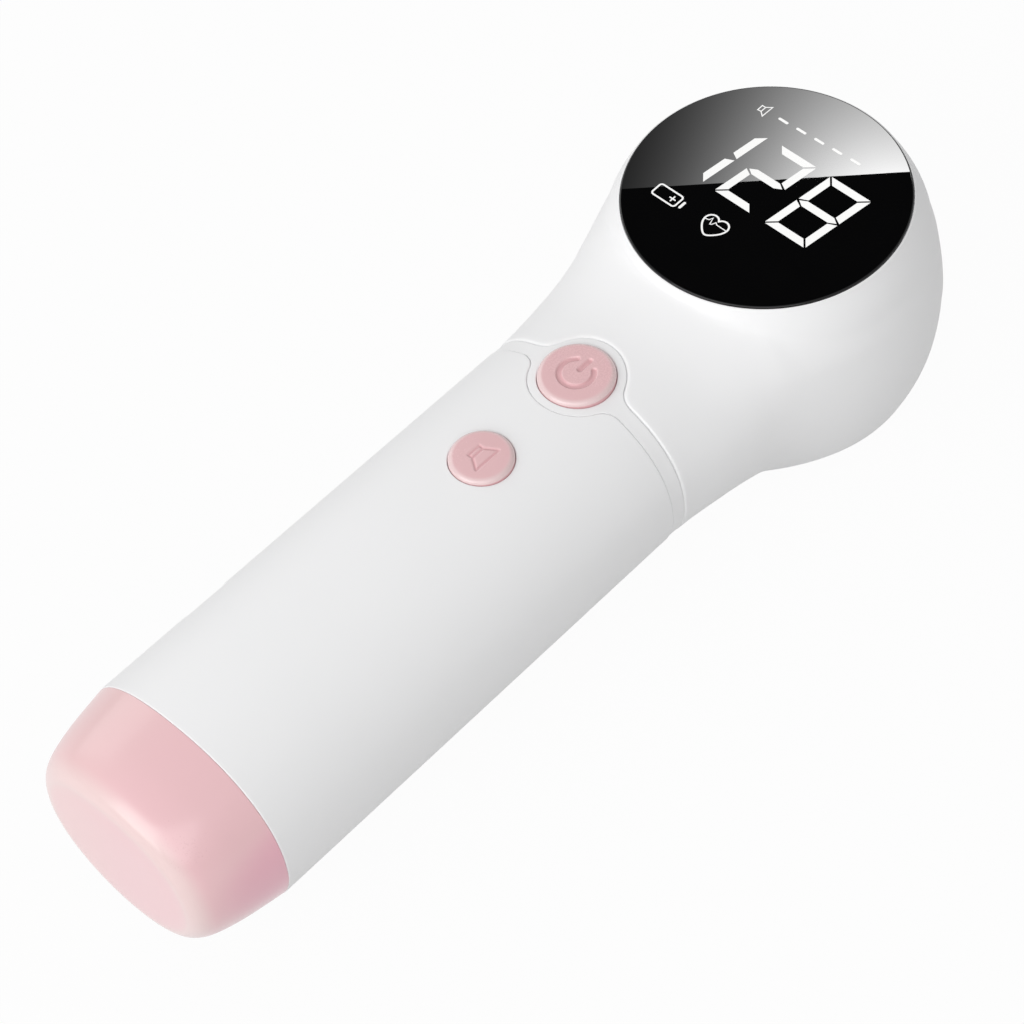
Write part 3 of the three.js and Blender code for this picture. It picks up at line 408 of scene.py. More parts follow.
def moulded(name, colour, roughness, depth=0.000006, grain_scale=GRAIN_SCALE, drift=0.02):
    """Plastic with a fine grain, and a slow drift of shade and gloss.

    With c the cloud and g the grain, both from 0 to 1, the shade runs from (1 - drift) to
    (1 + drift) times the colour with c, and the roughness is its mean plus
    GLOSS_CLOUD (c - 1/2) + GLOSS_GRAIN (g - 1/2).
    """
    finish = Finish(name)
    cloud = finish.noise(CLOUD_SCALE, CLOUD_DETAIL)
    grain = finish.noise(grain_scale)
    shade = finish.mix(cloud, tint(colour, 1 - drift), tint(colour, 1 + drift))
    gloss = roughness + (cloud - 0.5) * GLOSS_CLOUD + (grain - 0.5) * GLOSS_GRAIN
    return finish.dress(Base_Color=shade, Roughness=gloss, Normal=finish.bump(grain, depth))


white_finish = moulded("white_plastic_finish", WHITE, 0.5)
print("white plastic:", len(white_finish.node_tree.nodes), "nodes")

# %% [markdown]
# The tail cap is a glossier pink moulding, with light and shade painted into its colour: a
# paler pink on the lit left flank, painted shade that is deepest on the outside of the right
# one, and a painted highlight as a paler band on the thin rounding before the end. The tail cap is a
# glossier pink moulding, thin enough for some light to pass. Subsurface scattering could show that, but
# it is slow and a baked model loses it. A clear coat on top gives the soft highlight of a polished
# mould.

# %% Pink of the cap
# Pinks of painted light: the lit left flank, the middle, painted shade on the right flank, and a painted
# highlight on the rounding. The cloud is a random tint.
CAP_LIT_FLANK_PINK, CAP_MIDDLE = (0.81, 0.545, 0.55, 1), (0.81, 0.515, 0.54, 1)
CAP_PAINTED_SHADE_PINK, CAP_PAINTED_HIGHLIGHT_PINK = (0.80, 0.42, 0.50, 1), (0.79, 0.60, 0.59, 1)
CAP_CLOUD = (0.9, 0.62, 0.62, 1)
# Where along Y the lit flank's pink gives way and the painted shade comes in, and where along X the band of
# painted highlight rises and falls.
CAP_LIT_FLANK_FADE, CAP_PAINTED_SHADE_FADE = (0.012, -0.004), (-0.0178, -0.0206)
CAP_HIGHLIGHT_GROWS, CAP_HIGHLIGHT_ENDS = (-0.1462, -0.1490), (-0.14979, -0.1496)
CLOUD_SHARE = 0.08
POLISHED_GRAIN = 0.0000015


def cap_finish():
    """The colour goes from the paler pink of the lit flank to the middle pink to painted shade
    along Y, and to a painted highlight in a band along X, which is the product of a rise and a
    fall. Each change is a soft step."""
    finish = Finish("cap_finish")
    cloud, grain = finish.noise(CLOUD_SCALE, CLOUD_DETAIL), finish.noise(GRAIN_SCALE)
    x, y = finish.part("X"), finish.part("Y")
    # Painted light and shade: paler on the lit left flank, painted shade on the right one.
    pink_and_painted_light = finish.mix(finish.ease(y, *CAP_LIT_FLANK_FADE), CAP_LIT_FLANK_PINK, CAP_MIDDLE)
    pink_and_painted_light = finish.mix(finish.ease(y, *CAP_PAINTED_SHADE_FADE), pink_and_painted_light, CAP_PAINTED_SHADE_PINK)
    # Painted highlight: a paler band on the rounding before the end.
    pink_and_painted_light = finish.mix(finish.ease(x, *CAP_HIGHLIGHT_GROWS) * finish.ease(x, *CAP_HIGHLIGHT_ENDS), pink_and_painted_light, CAP_PAINTED_HIGHLIGHT_PINK)
    return finish.dress(
        Base_Color=finish.mix(cloud * CLOUD_SHARE, pink_and_painted_light, CAP_CLOUD),
        Roughness=0.3 + (cloud - 0.5) * 0.1 + (grain - 0.5) * GLOSS_GRAIN,
        Normal=finish.bump(grain, POLISHED_GRAIN), Coat_Weight=0.4, Coat_Roughness=0.16,
    )


cap_pink = cap_finish()
print("pink of the cap:", len(cap_pink.node_tree.nodes), "nodes")

# %% [markdown]
# The two keys are of the same polished pink, with a paler pink on their rounding as a painted
# highlight. The dark line round them could be painted, but here it comes from the real gap in
# which they slide. The pressed signs are duller, as their narrow grooves aren't polished, and a
# deeper pink, which is painted shade in the grooves. Each key finish measures the distance from
# its own key's axis.

# %% Pink of the keys
# The second pink is a painted highlight, paler on a key's rounding.
BUTTON_PINK, BUTTON_PAINTED_HIGHLIGHT = (0.79, 0.50, 0.515, 1), (0.79, 0.60, 0.60, 1)
BUTTON_CLOUD, BUTTON_CLOUD_SCALE = (0.9, 0.6, 0.62, 1), 40
# Where the painted highlight on a key's rounding starts and where it is full, in metres inside the radius.
KEY_HIGHLIGHT_GROWS, KEY_HIGHLIGHT_FULL = 0.0011, 0.0003
# A deeper pink that is painted shade in the signs' grooves.
GROOVE_PAINTED_SHADE_PINK = (0.73, 0.43, 0.45)


def key_finish(name, place, radius):
    """With x and y counted from the key's axis, the distance is sqrt(x^2 + y^2). A paler pink, a
    painted highlight on the rounding, comes in softly between two distances inside the radius."""
    finish = Finish(name)
    cloud, grain = finish.noise(BUTTON_CLOUD_SCALE, CLOUD_DETAIL), finish.noise(GRAIN_SCALE)
    x, y = finish.part("X") + place, finish.part("Y")
    # Painted highlight: the paler pink comes in on the key's rounding.
    edge = finish.ease((x * x + y * y).math("SQRT"), radius - KEY_HIGHLIGHT_GROWS, radius - KEY_HIGHLIGHT_FULL)
    pink_and_painted_light = finish.mix(edge, BUTTON_PINK, BUTTON_PAINTED_HIGHLIGHT)
    return finish.dress(
        Base_Color=finish.mix(cloud * CLOUD_SHARE, pink_and_painted_light, BUTTON_CLOUD),
        Roughness=0.27 + (cloud - 0.5) * 0.08 + (grain - 0.5) * GLOSS_GRAIN,
        Normal=finish.bump(grain, POLISHED_GRAIN), Coat_Weight=0.5, Coat_Roughness=0.14,
    )


# Painted shade: the groove's deeper pink, on the signs and on the key's hidden sides.
groove_painted_shade_finish = moulded("button_groove_painted_shade_finish", GROOVE_PAINTED_SHADE_PINK, 0.4, drift=0.03)
print("groove pink:", GROOVE_PAINTED_SHADE_PINK)

# %% [markdown]
# Screws, contacts, the probe's screen and the loudspeaker's frame are plated steel. Anisotropic
# gloss would be the textbook way to brush it, but the export drops a pattern in it. Noise drawn
# out along X does the same with shade, roughness and a very low bump.

# %% Plated metal
LINE_SCALE, LINE_STRETCH, LINE_DEPTH = 900, (0.08, 1, 1), 0.000008


def brushed_metal(name, colour, roughness):
    """Metal whose shade runs from 0.88 to 1.08 times its colour with the lines' noise l, and
    whose roughness is its mean plus 0.2 (l - 1/2)."""
    finish = Finish(name)
    lines = finish.noise(LINE_SCALE, 3, LINE_STRETCH)
    return finish.dress(
        Base_Color=finish.mix(lines, tint(colour, 0.88), tint(colour, 1.08)), Metallic=1.0,
        Roughness=roughness + (lines - 0.5) * 0.2, Normal=finish.bump(lines, LINE_DEPTH),
    )


steel_finish = brushed_metal("bright_steel_finish", (0.60, 0.61, 0.63), 0.3)
print("plated steel:", len(steel_finish.node_tree.nodes), "nodes")

# %% [markdown]
# A circuit board is green mask over copper tracks, with bare plated pads. Every track could be
# geometry, but nobody sees more of them than a glimpse through the charging mouth. A brick
# texture's joints stand in for the tracks, and small cells of a Voronoi texture for the pads.
# The ribbon to the display is amber film, and a wave texture lays its parallel tracks.

# %% Board and ribbon
def board_finish():
    """Pale joints of a brick pattern on green, and dots nearer than 0.2 to a cell's point."""
    finish = Finish("circuit_board_finish")
    spot = finish.place()
    tracks = finish.node("ShaderNodeTexBrick", {"offset": 0.37}, {
        "Vector": spot, "Scale": 240, "Mortar Size": 0.06, "Mortar Smooth": 0.2,
        "Color1": (0, 0, 0, 1), "Color2": (0.15, 0.15, 0.15, 1), "Mortar": (1, 1, 1, 1),
    })
    pads = finish.node("ShaderNodeTexVoronoi", None, {"Vector": spot, "Scale": 330})
    dots = finish.node("ShaderNodeValToRGB", {"stops": [(0.2, 1), (0.24, 0)]}, {0: pads})
    mask = finish.mix(tracks, (0.012, 0.10, 0.045, 1), (0.03, 0.19, 0.09, 1))
    shade = finish.mix(dots, mask, (0.55, 0.50, 0.36, 1))
    return finish.dress(Base_Color=shade, Roughness=0.28 + dots * 0.1, Normal=finish.bump(tracks, 0.00002))


def film_finish():
    """Amber film with parallel copper tracks, 300 to the metre, inside it."""
    finish = Finish("amber_film_finish")
    sockets = {"Vector": finish.place(), "Scale": 300}
    waves = finish.node("ShaderNodeTexWave", {"bands_direction": "Y"}, sockets)
    shade = finish.mix(waves, (0.50, 0.20, 0.03, 1), (0.30, 0.10, 0.02, 1))
    return finish.dress(Base_Color=shade, Roughness=0.25, Normal=finish.bump(waves, 0.00001))


board, film = board_finish(), film_finish()
print("board and ribbon:", board.name, film.name)

# %% [markdown]
# The display is a pane that is black behind, with figures of white light. Clear glass over a
# black plate would need two surfaces and many bounces. A near-black gloss looks the same, and
# its faint dust keeps the mirror image from being perfect. The figures give off light: a little
# unevenly, like a real backlight, and just below white, so that they don't burn out.

# %% Pane and light
DUST_GLOSS = [(0.45, 0.002), (0.75, 0.006)]


def pane_finish():
    """Black gloss whose roughness follows the dust, from the first stop's level to the second's."""
    finish = Finish("display_pane_finish")
    dust = finish.noise(140, 4)
    gloss = finish.node("ShaderNodeValToRGB", {"stops": DUST_GLOSS}, {0: dust})
    shade = finish.mix(dust, (0.0022, 0.0022, 0.0024, 1), (0.0030, 0.0030, 0.0032, 1))
    return finish.dress(Base_Color=shade, Roughness=gloss, IOR=1.5)


def glow_finish():
    """White light that varies by a tenth with a slow noise."""
    finish = Finish("display_glow_finish")
    glow = finish.mix(finish.noise(60), (0.86, 0.86, 0.85, 1), (0.96, 0.96, 0.95, 1))
    dark = (0.02, 0.02, 0.02, 1)
    return finish.dress(Base_Color=dark, Roughness=0.3, Emission_Color=glow, Emission_Strength=1.0)


pane, glow = pane_finish(), glow_finish()
print("pane and light:", pane.name, glow.name)

# %% [markdown]
# Each node of the frame names its material slot in the record, so the finishes are handed out by
# slot. Doing it by hand would mean 48 lines. The order of the numbers is colour, roughness,
# depth of the grain in metres, grains to the metre and drift of the shade.

# %% Finishes for the frame's nodes
finishes = {
    "white_plastic": white_finish,
    "pink_plastic": moulded("pink_plastic_finish", (0.83, 0.545, 0.575), 0.42),
    "black_glass": pane,
    "face_resin": moulded("face_resin_finish", (0.70, 0.69, 0.65), 0.30, 0.000003, 1800),
    "dark_rubber": moulded("dark_rubber_finish", (0.045, 0.045, 0.05), 0.75, 0.00002, 1500, 0.1),
    "black_plastic": moulded("black_plastic_finish", (0.025, 0.025, 0.028), 0.5, 0.00001, 2400, 0.1),
    "circuit_board": board,
    "pale_plastic": moulded("pale_plastic_finish", (0.72, 0.70, 0.64), 0.45),
    "ceramic": moulded("ceramic_finish", (0.62, 0.56, 0.46), 0.6, 0.00002, 5200, 0.05),
    "bright_steel": steel_finish,
    "cell_wrap": moulded("cell_wrap_finish", (0.05, 0.17, 0.42), 0.3, 0.00001, 300, 0.08),
    "amber_film": film,
}

for row in frame["record"]["subparts"]:
    node = frame["nodes"][row["node"]]
    for holder in node.material_slots:
        holder.material = finishes[row["material_slot"]]
print("finishes for the frame:", len(finishes))

# %% [markdown]
# A moulded part looks smooth because its normals change evenly over the surface. In Blender a
# face is flat until its mesh is told to shade smooth, and then even a true corner looks round.
# So every mesh is shaded smooth except at edges that are sharper than a given angle. Its faces
# are turned outwards first, because a reader of the mesh takes a face's front for its outside.

# %% Shading of a finished mesh
SHARP_DEGREES = 40


def finish_shading(mesh, sharp):
    """Turns all faces outwards and shades them smooth, but for edges above sharp degrees."""
    shape = bmesh.new()
    shape.from_mesh(mesh)
    bmesh.ops.recalc_face_normals(shape, faces=shape.faces)
    shape.to_mesh(mesh)
    shape.free()
    mesh.shade_smooth()
    mesh.set_sharp_from_angle(angle=math.radians(sharp))


print("edges stay sharp above", SHARP_DEGREES, "degrees")

# %% [markdown]
# A skin is a grid of points. It could be built face by face, which is slow in Python, or drawn
# as a curve and converted, which gives little control of where the points lie. The class below
# gathers whole arrays: a grid is woven into four-sided faces, two rings of points are bridged,
# and a ring is closed with a cap. At the end one call puts everything into a mesh.

# %% Skins from grids
class Skin:
    """Points and faces that become one mesh. Lengths are millimetres until the mesh is made."""

    def __init__(self):
        self.points = []
        self.faces = []
        self.count = 0

    def add(self, points):
        """Keeps an array of points and returns their numbers, in the array's own layout."""
        points = np.asarray(points, float)
        numbers = self.count + np.arange(points[..., 0].size).reshape(points.shape[:-1])
        self.points.append(points.reshape(-1, 3))
        self.count += numbers.size
        return numbers

    def weave(self, numbers, keep=None):
        """Faces between neighbouring rows and columns; keep is true where a face stays."""
        corners = (numbers[:-1, :-1], numbers[:-1, 1:], numbers[1:, 1:], numbers[1:, :-1])
        faces = np.stack(corners, -1)
        self.faces += (faces[keep] if keep is not None else faces.reshape(-1, 4)).tolist()

    def weave_round(self, numbers, keep=None):
        """The same, with the last column joined to the first."""
        self.weave(np.hstack([numbers, numbers[:, :1]]), keep)

    def chain(self, first, rings, last=None):
        """Bridges a ring of numbers through rings of new points, and on to a last ring."""
        for ring in rings:
            numbers = self.add(ring)
            self.weave_round(np.stack([first, numbers]))
            first = numbers
        if last is not None:
            self.weave_round(np.stack([first, last]))
        return first

    def cap(self, ring):
        """Closes a ring of numbers with one face of many corners."""
        self.faces.append(ring.tolist())

    def mesh(self, name, sharp=SHARP_DEGREES):
        """One mesh of all faces and of the points that they use."""
        every = np.concatenate([np.ravel(face) for face in self.faces])
        used, corners = np.unique(every, return_inverse=True)
        lengths = np.array([len(face) for face in self.faces])
        mesh = bpy.data.meshes.new(name)
        mesh.vertices.add(len(used))
        mesh.vertices.foreach_set("co", (np.concatenate(self.points) * MM)[used].ravel())
        mesh.loops.add(len(corners))
        mesh.loops.foreach_set("vertex_index", corners.astype(np.int32))
        mesh.polygons.add(len(lengths))
        mesh.polygons.foreach_set("loop_start", (np.cumsum(lengths) - lengths).astype(np.int32))
        mesh.update(calc_edges=True)
        finish_shading(mesh, sharp)
        return mesh


trial = Skin()
trial.weave(trial.add(np.zeros((3, 4, 3))))
print("a trial grid of 3 by 4 points gives", len(trial.faces), "faces")

# %% [markdown]
# A mesh becomes a piece of the object when it has a finish, rides on a body and hides the nodes
# of the frame that it stands for. Every piece needs the same steps, so they are in one
# function.

# %% Pieces of the object
def show(name, mesh, finish, body, slot, *replaced):
    """Makes a mesh a piece of the object: its finish, its body and what it replaces. The slot is not used.
    Without a finish the mesh keeps the ones that it already has."""
    if finish:
        mesh.materials.clear()
        mesh.materials.append(finish)
    piece = bpy.data.objects.new(name, mesh)
    bpy.context.collection.objects.link(piece)
    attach(piece, body)
    if replaced:
        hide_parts(*replaced)
    print(name, "faces:", len(mesh.polygons))
    return piece


# %% [markdown]
# Two helpers come up in every skin. A soft step lets one form give way to another without a
# crease. A soft path turns a few measured points into a smooth profile. Blender's curves could
# do that too, but a formula on arrays gives as many rows as the grid needs.

# %% Soft steps and soft paths
def smooth_step(value, low, high):
    """0 below low, 1 above high, and s^2 (3 - 2 s) between them, with s the share of the way."""
    share = np.clip((value - low) / (high - low), 0, 1)
    return share * share * (3 - 2 * share)


def soft_path(points, steps):
    """A smooth line through points: between two of them it is a cubic whose slope at each
    point is half the step from the point before it to the point after it."""
    points = np.pad(np.asarray(points, float), ((1, 1), (0, 0)), mode="edge")
    place = np.linspace(0, len(points) - 3, steps + 1)
    index = np.minimum(place.astype(int), len(points) - 4)
    t = (place - index)[:, None]
    p0, p1, p2, p3 = (points[index + k] for k in range(4))
    first, second = (p2 - p0) / 2, (p3 - p1) / 2
    cubic = (2 * p1 - 2 * p2 + first + second) * t ** 3
    square = (-3 * p1 + 3 * p2 - 2 * first - second) * t ** 2
    return cubic + square + first * t + p1


def quarter(steps):
    """Angles of a quarter circle in even steps, without its start."""
    return np.linspace(0, math.pi / 2, steps + 1)[1:]


print("half way up a soft step:", float(smooth_step(0.5, 0, 1)))

# %% [markdown]
# The shells have round wells for the keys and a broad mouth at the neck. A Boolean could cut
# them, but it leaves long thin faces that shade badly beside a glossy edge. Here the grid itself
# makes room: a block of its cells is taken out, and the points in a frame round the block move,
# ring by ring, from their old places to the edge of the hole. The mesh stays one even weave.

# %% Making room for a hole
RING_CROWDING = 1.5


def window_layout(block, rings):
    """Where each point of block and frame lies: the number of its square ring past the block,
    its place u, v on that ring from -1 to 1, and whether it is on one of the ring's row sides."""
    (half_rows, half_columns), (tall, wide) = block, (block[0] + rings, block[1] + rings)
    down, over = np.mgrid[-tall:tall + 1, -wide:wide + 1]
    past_rows, past_columns = np.abs(down) - half_rows, np.abs(over) - half_columns
    layer = np.maximum(np.maximum(past_rows, past_columns), 0)
    u, v = over / (half_columns + layer), down / (half_rows + layer)
    return layer, u, v, past_rows >= past_columns


def window_angle(u, v, on_row_side, corner):
    """The angle on the hole's edge. A column side runs over plus and minus (90 degrees - corner)
    as v goes from -1 to 1, and a row side over the rest as u does."""
    row_angle = np.sign(v) * (math.pi / 2 - corner * u)
    side_angle = (math.pi / 2 - corner) * v
    return np.where(on_row_side, row_angle, np.where(u > 0, side_angle, math.pi - side_angle))


def frame_partner(part, u, v, on_row_side):
    """The point on the frame's outer side that lies at the same u or v, by straight lines."""
    tall, wide = part.shape[0] // 2, part.shape[1] // 2
    over, down = np.arange(-wide, wide + 1), np.arange(-tall, tall + 1)
    end = np.empty_like(part)
    for k in range(2):
        top, bottom = (np.interp(u * wide, over, part[row, :, k]) for row in (0, -1))
        left, right = (np.interp(v * tall, down, part[:, column, k]) for column in (0, -1))
        on_rows, on_columns = np.where(v < 0, top, bottom), np.where(u < 0, left, right)
        end[..., k] = np.where(on_row_side, on_rows, on_columns)
    return end


def square_ring(box):
    """The outermost ring of a box of values, once round."""
    return np.concatenate([box[0, :-1], box[:-1, -1], box[-1, :0:-1], box[:0:-1, 0]])


def open_window(grid, spot, block, rings, edge, corner=math.pi / 4):
    """Moves the parameters of a grid so that the block round spot fits inside an edge.

    A point in ring r of the frame lies on the straight line from edge(angle) to its partner on
    the frame's outer side, at the share (r / rings)^1.5, so that the rings crowd at the hole.
    Returns the new grid, the mask of faces to keep, and a function that reads the block's ring.
    """
    (row, column), (half_rows, half_columns) = spot, block
    tall, wide = half_rows + rings, half_columns + rings
    frame_area = slice(row - tall, row + tall + 1), slice(column - wide, column + wide + 1)
    layer, u, v, on_row_side = window_layout(block, rings)
    start = edge(window_angle(u, v, on_row_side, corner))
    end = frame_partner(grid[frame_area], u, v, on_row_side)
    moved = grid.copy()
    moved[frame_area] = start + (end - start) * ((layer / rings) ** RING_CROWDING)[..., None]
    keep = np.ones((grid.shape[0] - 1, grid.shape[1]), bool)
    keep[row - half_rows:row + half_rows, column - half_columns:column + half_columns] = False

    def read(numbers):
        """The numbers of the ring round the block, which is now the hole's edge."""
        rows = slice(row - half_rows, row + half_rows + 1)
        return square_ring(numbers[rows, column - half_columns:column + half_columns + 1])

    return moved, keep, read


def ring_neighbours(spot, block, points):
    """The points one ring further from the hole than its edge, in the edge's own order."""
    row, column = spot
    tall, wide = block[0] + 1, block[1] + 1
    box = points[row - tall:row + tall + 1, column - wide:column + wide + 1]
    return np.concatenate([box[0, 1:-2], box[1:-2, -1], box[-1, -2:1:-1], box[-2:1:-1, 0]])


trial = np.stack(np.mgrid[0:9, 0:9], -1).astype(float)
trial_keep = open_window(trial, (4, 4), (1, 1), 2, lambda a: np.stack([4 + np.sin(a), 4 + np.cos(a)], -1))[1]
print("a trial window takes", int((~trial_keep).sum()), "cells out of", trial_keep.size)

# %% [markdown]
# The handle and the neck share one oval. A circle or an ellipse would be too thin at the
# corners, so it is a superellipse, a little squarer above than below, whose top and bottom drift
# apart towards the tail. On the head's side of the collar it widens, as the real neck does. As
# it is a function of the station and a turn, every later piece can lie exactly on it.

# %% The oval of handle and neck
HEAD_CENTRE = 20.0
COLLAR_PLACE = 45.85
TAIL_PLACE = 134.0
HALF_WIDTH = 21.0
HALF_HEIGHT = 18.05
TAIL_TOP, TAIL_BOTTOM = 39.1, 0.65
TOP_POWER, BOTTOM_POWER = 2.28, 2.05
FLARE, FLARE_LENGTH = 0.085, 20.0


def oval_heights(x):
    """Middle and half the height of the oval at a station along X. Its top and its bottom each
    run on a straight line from the collar to the tail."""
    along = np.clip((-x - COLLAR_PLACE) / (TAIL_PLACE - COLLAR_PLACE), 0, None)
    top = HEAD_CENTRE + HALF_HEIGHT + (TAIL_TOP - HEAD_CENTRE - HALF_HEIGHT) * along
    bottom = HEAD_CENTRE - HALF_HEIGHT + (TAIL_BOTTOM - HEAD_CENTRE + HALF_HEIGHT) * along
    return (top + bottom) / 2, (top - bottom) / 2


def neck_flare(x):
    """Width as a share of the handle's: 1 plus FLARE times a soft step up from the collar, and
    times a soft step down beyond the middle of the head."""
    grown = smooth_step(x, -COLLAR_PLACE, FLARE_LENGTH - COLLAR_PLACE)
    return 1 + FLARE * grown * (1 - smooth_step(x, 0, FLARE_LENGTH))


def oval(x, turn, inset=0.0):
    """Point of the oval at station x, in the direction turn from straight up towards +Y.

    Its distance from the middle is (|sin|^p / w^p + |cos|^p / h^p)^(-1/p), with w and h half
    the width and height, both less the inset, and p the power above or below the middle.
    """
    x, turn, inset = np.broadcast_arrays(x, turn, inset)
    middle, half = oval_heights(x)
    flare = neck_flare(x)
    upward = np.cos(turn) > 0
    power = np.where(upward, TOP_POWER, BOTTOM_POWER)
    width = HALF_WIDTH * flare - inset
    height = np.where(upward, half, half * flare) - inset
    reach = (np.abs(np.sin(turn) / width) ** power + np.abs(np.cos(turn) / height) ** power) ** (-1 / power)
    return np.stack([x, reach * np.sin(turn), middle + reach * np.cos(turn)], -1)


def oval_ring(turns, station, inset):
    """One ring of the oval, all at the same station."""
    return oval(np.full_like(turns, station), turns, inset)


print("oval at the collar:", 2 * HALF_WIDTH, "by", 2 * HALF_HEIGHT, "mm")

# %% [markdown]
# Two questions about the oval come back with every shell. Which turn lies above a given place
# in plan? A well is round when it is seen from above, so its edge is asked for in plan. And how
# are the columns of a grid spread? Evenly would be simplest, but nearly all detail is on top, so
# the turns are crowded there.

# %% Turns on the oval
def turn_above(x, y, inset=0.0):
    """The turn at which the upper half of the oval passes over the plan point (x, y): the oval's
    formula solved for the height, and then the angle whose tangent is y by that height."""
    _, half = oval_heights(x)
    side = np.abs(y) / (HALF_WIDTH * neck_flare(x) - inset)
    height = (half - inset) * (1 - side ** TOP_POWER) ** (1 / TOP_POWER)
    return np.arctan2(y, height)


def crowded_turns(count, crowding):
    """Turns once round from the underside, closer together at the top: pi (s - c sin(pi s) / pi)
    for s from -1 to 1, with c the crowding."""
    share = np.arange(count) / count * 2 - 1
    return math.pi * (share - crowding * np.sin(math.pi * share) / math.pi)


eye_turn = math.degrees(turn_above(-COLLAR_PLACE, 8.0))
print("turn above a place 8 mm to the side:", round(eye_turn, 1), "degrees")

# %% [markdown]
# The collar is a narrow band round the oval that opens into a round eye about the power button.
# On the real object it is the trim between two shells, and a dark hair line shows on each side.
# Its outline could be drawn by hand, but sleeve, collar and neck must then be drawn three times
# to fit. Seen from above it is a circle, a soft fillet and a straight edge, so the outline grown
# or shrunk by a clearance is again of that kind, and all three pieces use one function.

# %% Outline of the collar
COLLAR_HALF = 1.35
EYE_RADIUS = 8.0
EYE_FILLET = 3.5


def collar_half_width(y, clearance=0.0):
    """Half the collar's width along X at a distance y from its middle.

    Near the middle it is the eye's circle sqrt(R^2 - y^2), then the fillet's
    X - sqrt(f^2 - (Y - y)^2) about the fillet's centre (X, Y), then the band's own half width.
    """
    band = COLLAR_HALF + clearance
    eye = EYE_RADIUS + clearance
    fillet = EYE_FILLET - clearance
    centre_x = band + fillet
    centre_y = math.sqrt((eye + fillet) ** 2 - centre_x ** 2)
    meet = centre_y * eye / (eye + fillet)
    y = np.abs(y)
    circle = np.sqrt(np.clip(eye ** 2 - y ** 2, 0, None))
    bend = centre_x - np.sqrt(np.clip(fillet ** 2 - (centre_y - y) ** 2, 0, None))
    return np.where(y < meet, circle, np.where(y < centre_y, bend, band))


def collar_edge(turn, side, clearance=0.0, inset=0.0):
    """Station along X of the collar's outline: the collar's place plus or minus half its width
    there. side is 1 towards the head and -1 to the tail. Underneath the band has no eye."""
    y = oval(-COLLAR_PLACE, turn, inset)[..., 1]
    half = np.where(np.cos(turn) > 0, collar_half_width(y, clearance), COLLAR_HALF + clearance)
    return -COLLAR_PLACE + side * half


print("widest place of the collar:", round(2 * float(collar_half_width(0.0)), 2), "mm")

# %% [markdown]
# The head is a bowl turned about the upright axis: narrow at the display's rim, widest near its
# middle and drawn in at the foot. A sphere would be a stand-in only. The real profile is a few
# measured points with a smooth line through them. A line through points bends in small jumps,
# which a satin surface shows as faint bands, so it is evened out afterwards.

# %% Profile of the head
HEAD_RADIUS = 29.0
RIM_RADIUS, RIM_HEIGHT, RIM_MOUTH = 24.4, 41.15, 24.1
FOOT_RADIUS, FOOT_HEIGHT = 25.5, 1.6
HEAD_PROFILE = [(0.867, 0.931), (0.675, 0.967), (0.46, 0.997), (0.24, 0.976), (0.1, 0.931)]
PROFILE_STEPS = 300
RIM_TILT = math.atan2(RIM_RADIUS, RIM_HEIGHT - HEAD_CENTRE)
FOOT_TILT = math.atan2(FOOT_RADIUS, FOOT_HEIGHT - HEAD_CENTRE)


def evened(values, width=31):
    """A moving average, taken three times. Each end is first continued by its own mirror image
    turned upside down, so that the ends stay where they are."""
    half = width // 2
    for _ in range(3):
        before = 2 * values[0] - values[half:0:-1]
        after = 2 * values[-1] - values[-2:-half - 2:-1]
        values = np.convolve(np.concatenate([before, values, after]), np.ones(width) / width, "valid")
    return values


def head_profile():
    """Tilt from straight up, and distance from the head's centre, along the turned bowl. The
    profile's points are shares of the height between foot and rim, and of the head's radius."""
    span = RIM_HEIGHT - FOOT_HEIGHT
    points = [(r * HEAD_RADIUS, FOOT_HEIGHT + h * span - HEAD_CENTRE) for h, r in HEAD_PROFILE]
    rim = (RIM_RADIUS, RIM_HEIGHT - HEAD_CENTRE)
    foot = (FOOT_RADIUS, FOOT_HEIGHT - HEAD_CENTRE)
    line = soft_path([rim, *points, foot], PROFILE_STEPS)
    out, up = evened(line[:, 0]), evened(line[:, 1])
    return np.arctan2(out, up), np.hypot(out, up)


PROFILE_TILT, PROFILE_REACH = head_profile()
print("the bowl reaches", round(float(PROFILE_REACH.max()), 2), "mm from the head's centre")

# %% [markdown]
# Head and neck are one moulding without a seam. Two meshes could be joined by a Boolean and a
# bevel, but the bevel breaks where the corner gets shallow. Seen from the head's centre every
# direction meets the skin once, so the distance along that direction is the larger of two: to
# the turned bowl, and to the neck's oval. Where the two are nearly equal a soft maximum rounds
# the corner between them, and that is the long smooth blend of the real shoulder.

# %% Head and neck in one function
NECK_BLEND = 11.0
BLEND_START = 0.3
BLEND_LEAST = 0.3
LIFT, LIFT_START, LIFT_LENGTH, LIFT_END = 2.0, -37.6, 13.2, 1.4
NECK_REACH = COLLAR_PLACE + EYE_RADIUS + 5
NECK_PASSES = 4


def neck_distance(direction, inset):
    """Distance from the head's centre to the neck's oval.

    The oval widens towards the head, and its top rises by LIFT t^2 on the way to the display's
    rim. Both depend on the station that is being sought, so it is found in four passes.
    """
    x, y, z = np.moveaxis(direction, -1, 0)
    power = np.where(z > 0, TOP_POWER, BOTTOM_POWER)
    width, height = HALF_WIDTH - inset, HALF_HEIGHT - inset
    flare, lift = np.ones_like(x), np.zeros_like(x)
    for _ in range(NECK_PASSES):
        low = np.where(z < 0, height * flare, height + lift)
        total = (np.clip(x, 0, None) / (width * flare)) ** power
        total = total + np.abs(y / (width * flare)) ** power + np.abs(z / low) ** power
        reach = total ** (-1 / power)
        flare = neck_flare(reach * x)
        lift = LIFT * np.clip((reach * x - LIFT_START) / LIFT_LENGTH, 0, LIFT_END) ** 2
    limit = np.where(x < 0, NECK_REACH / np.clip(-x, 1e-6, None), 1e9)
    return np.minimum(reach, limit)


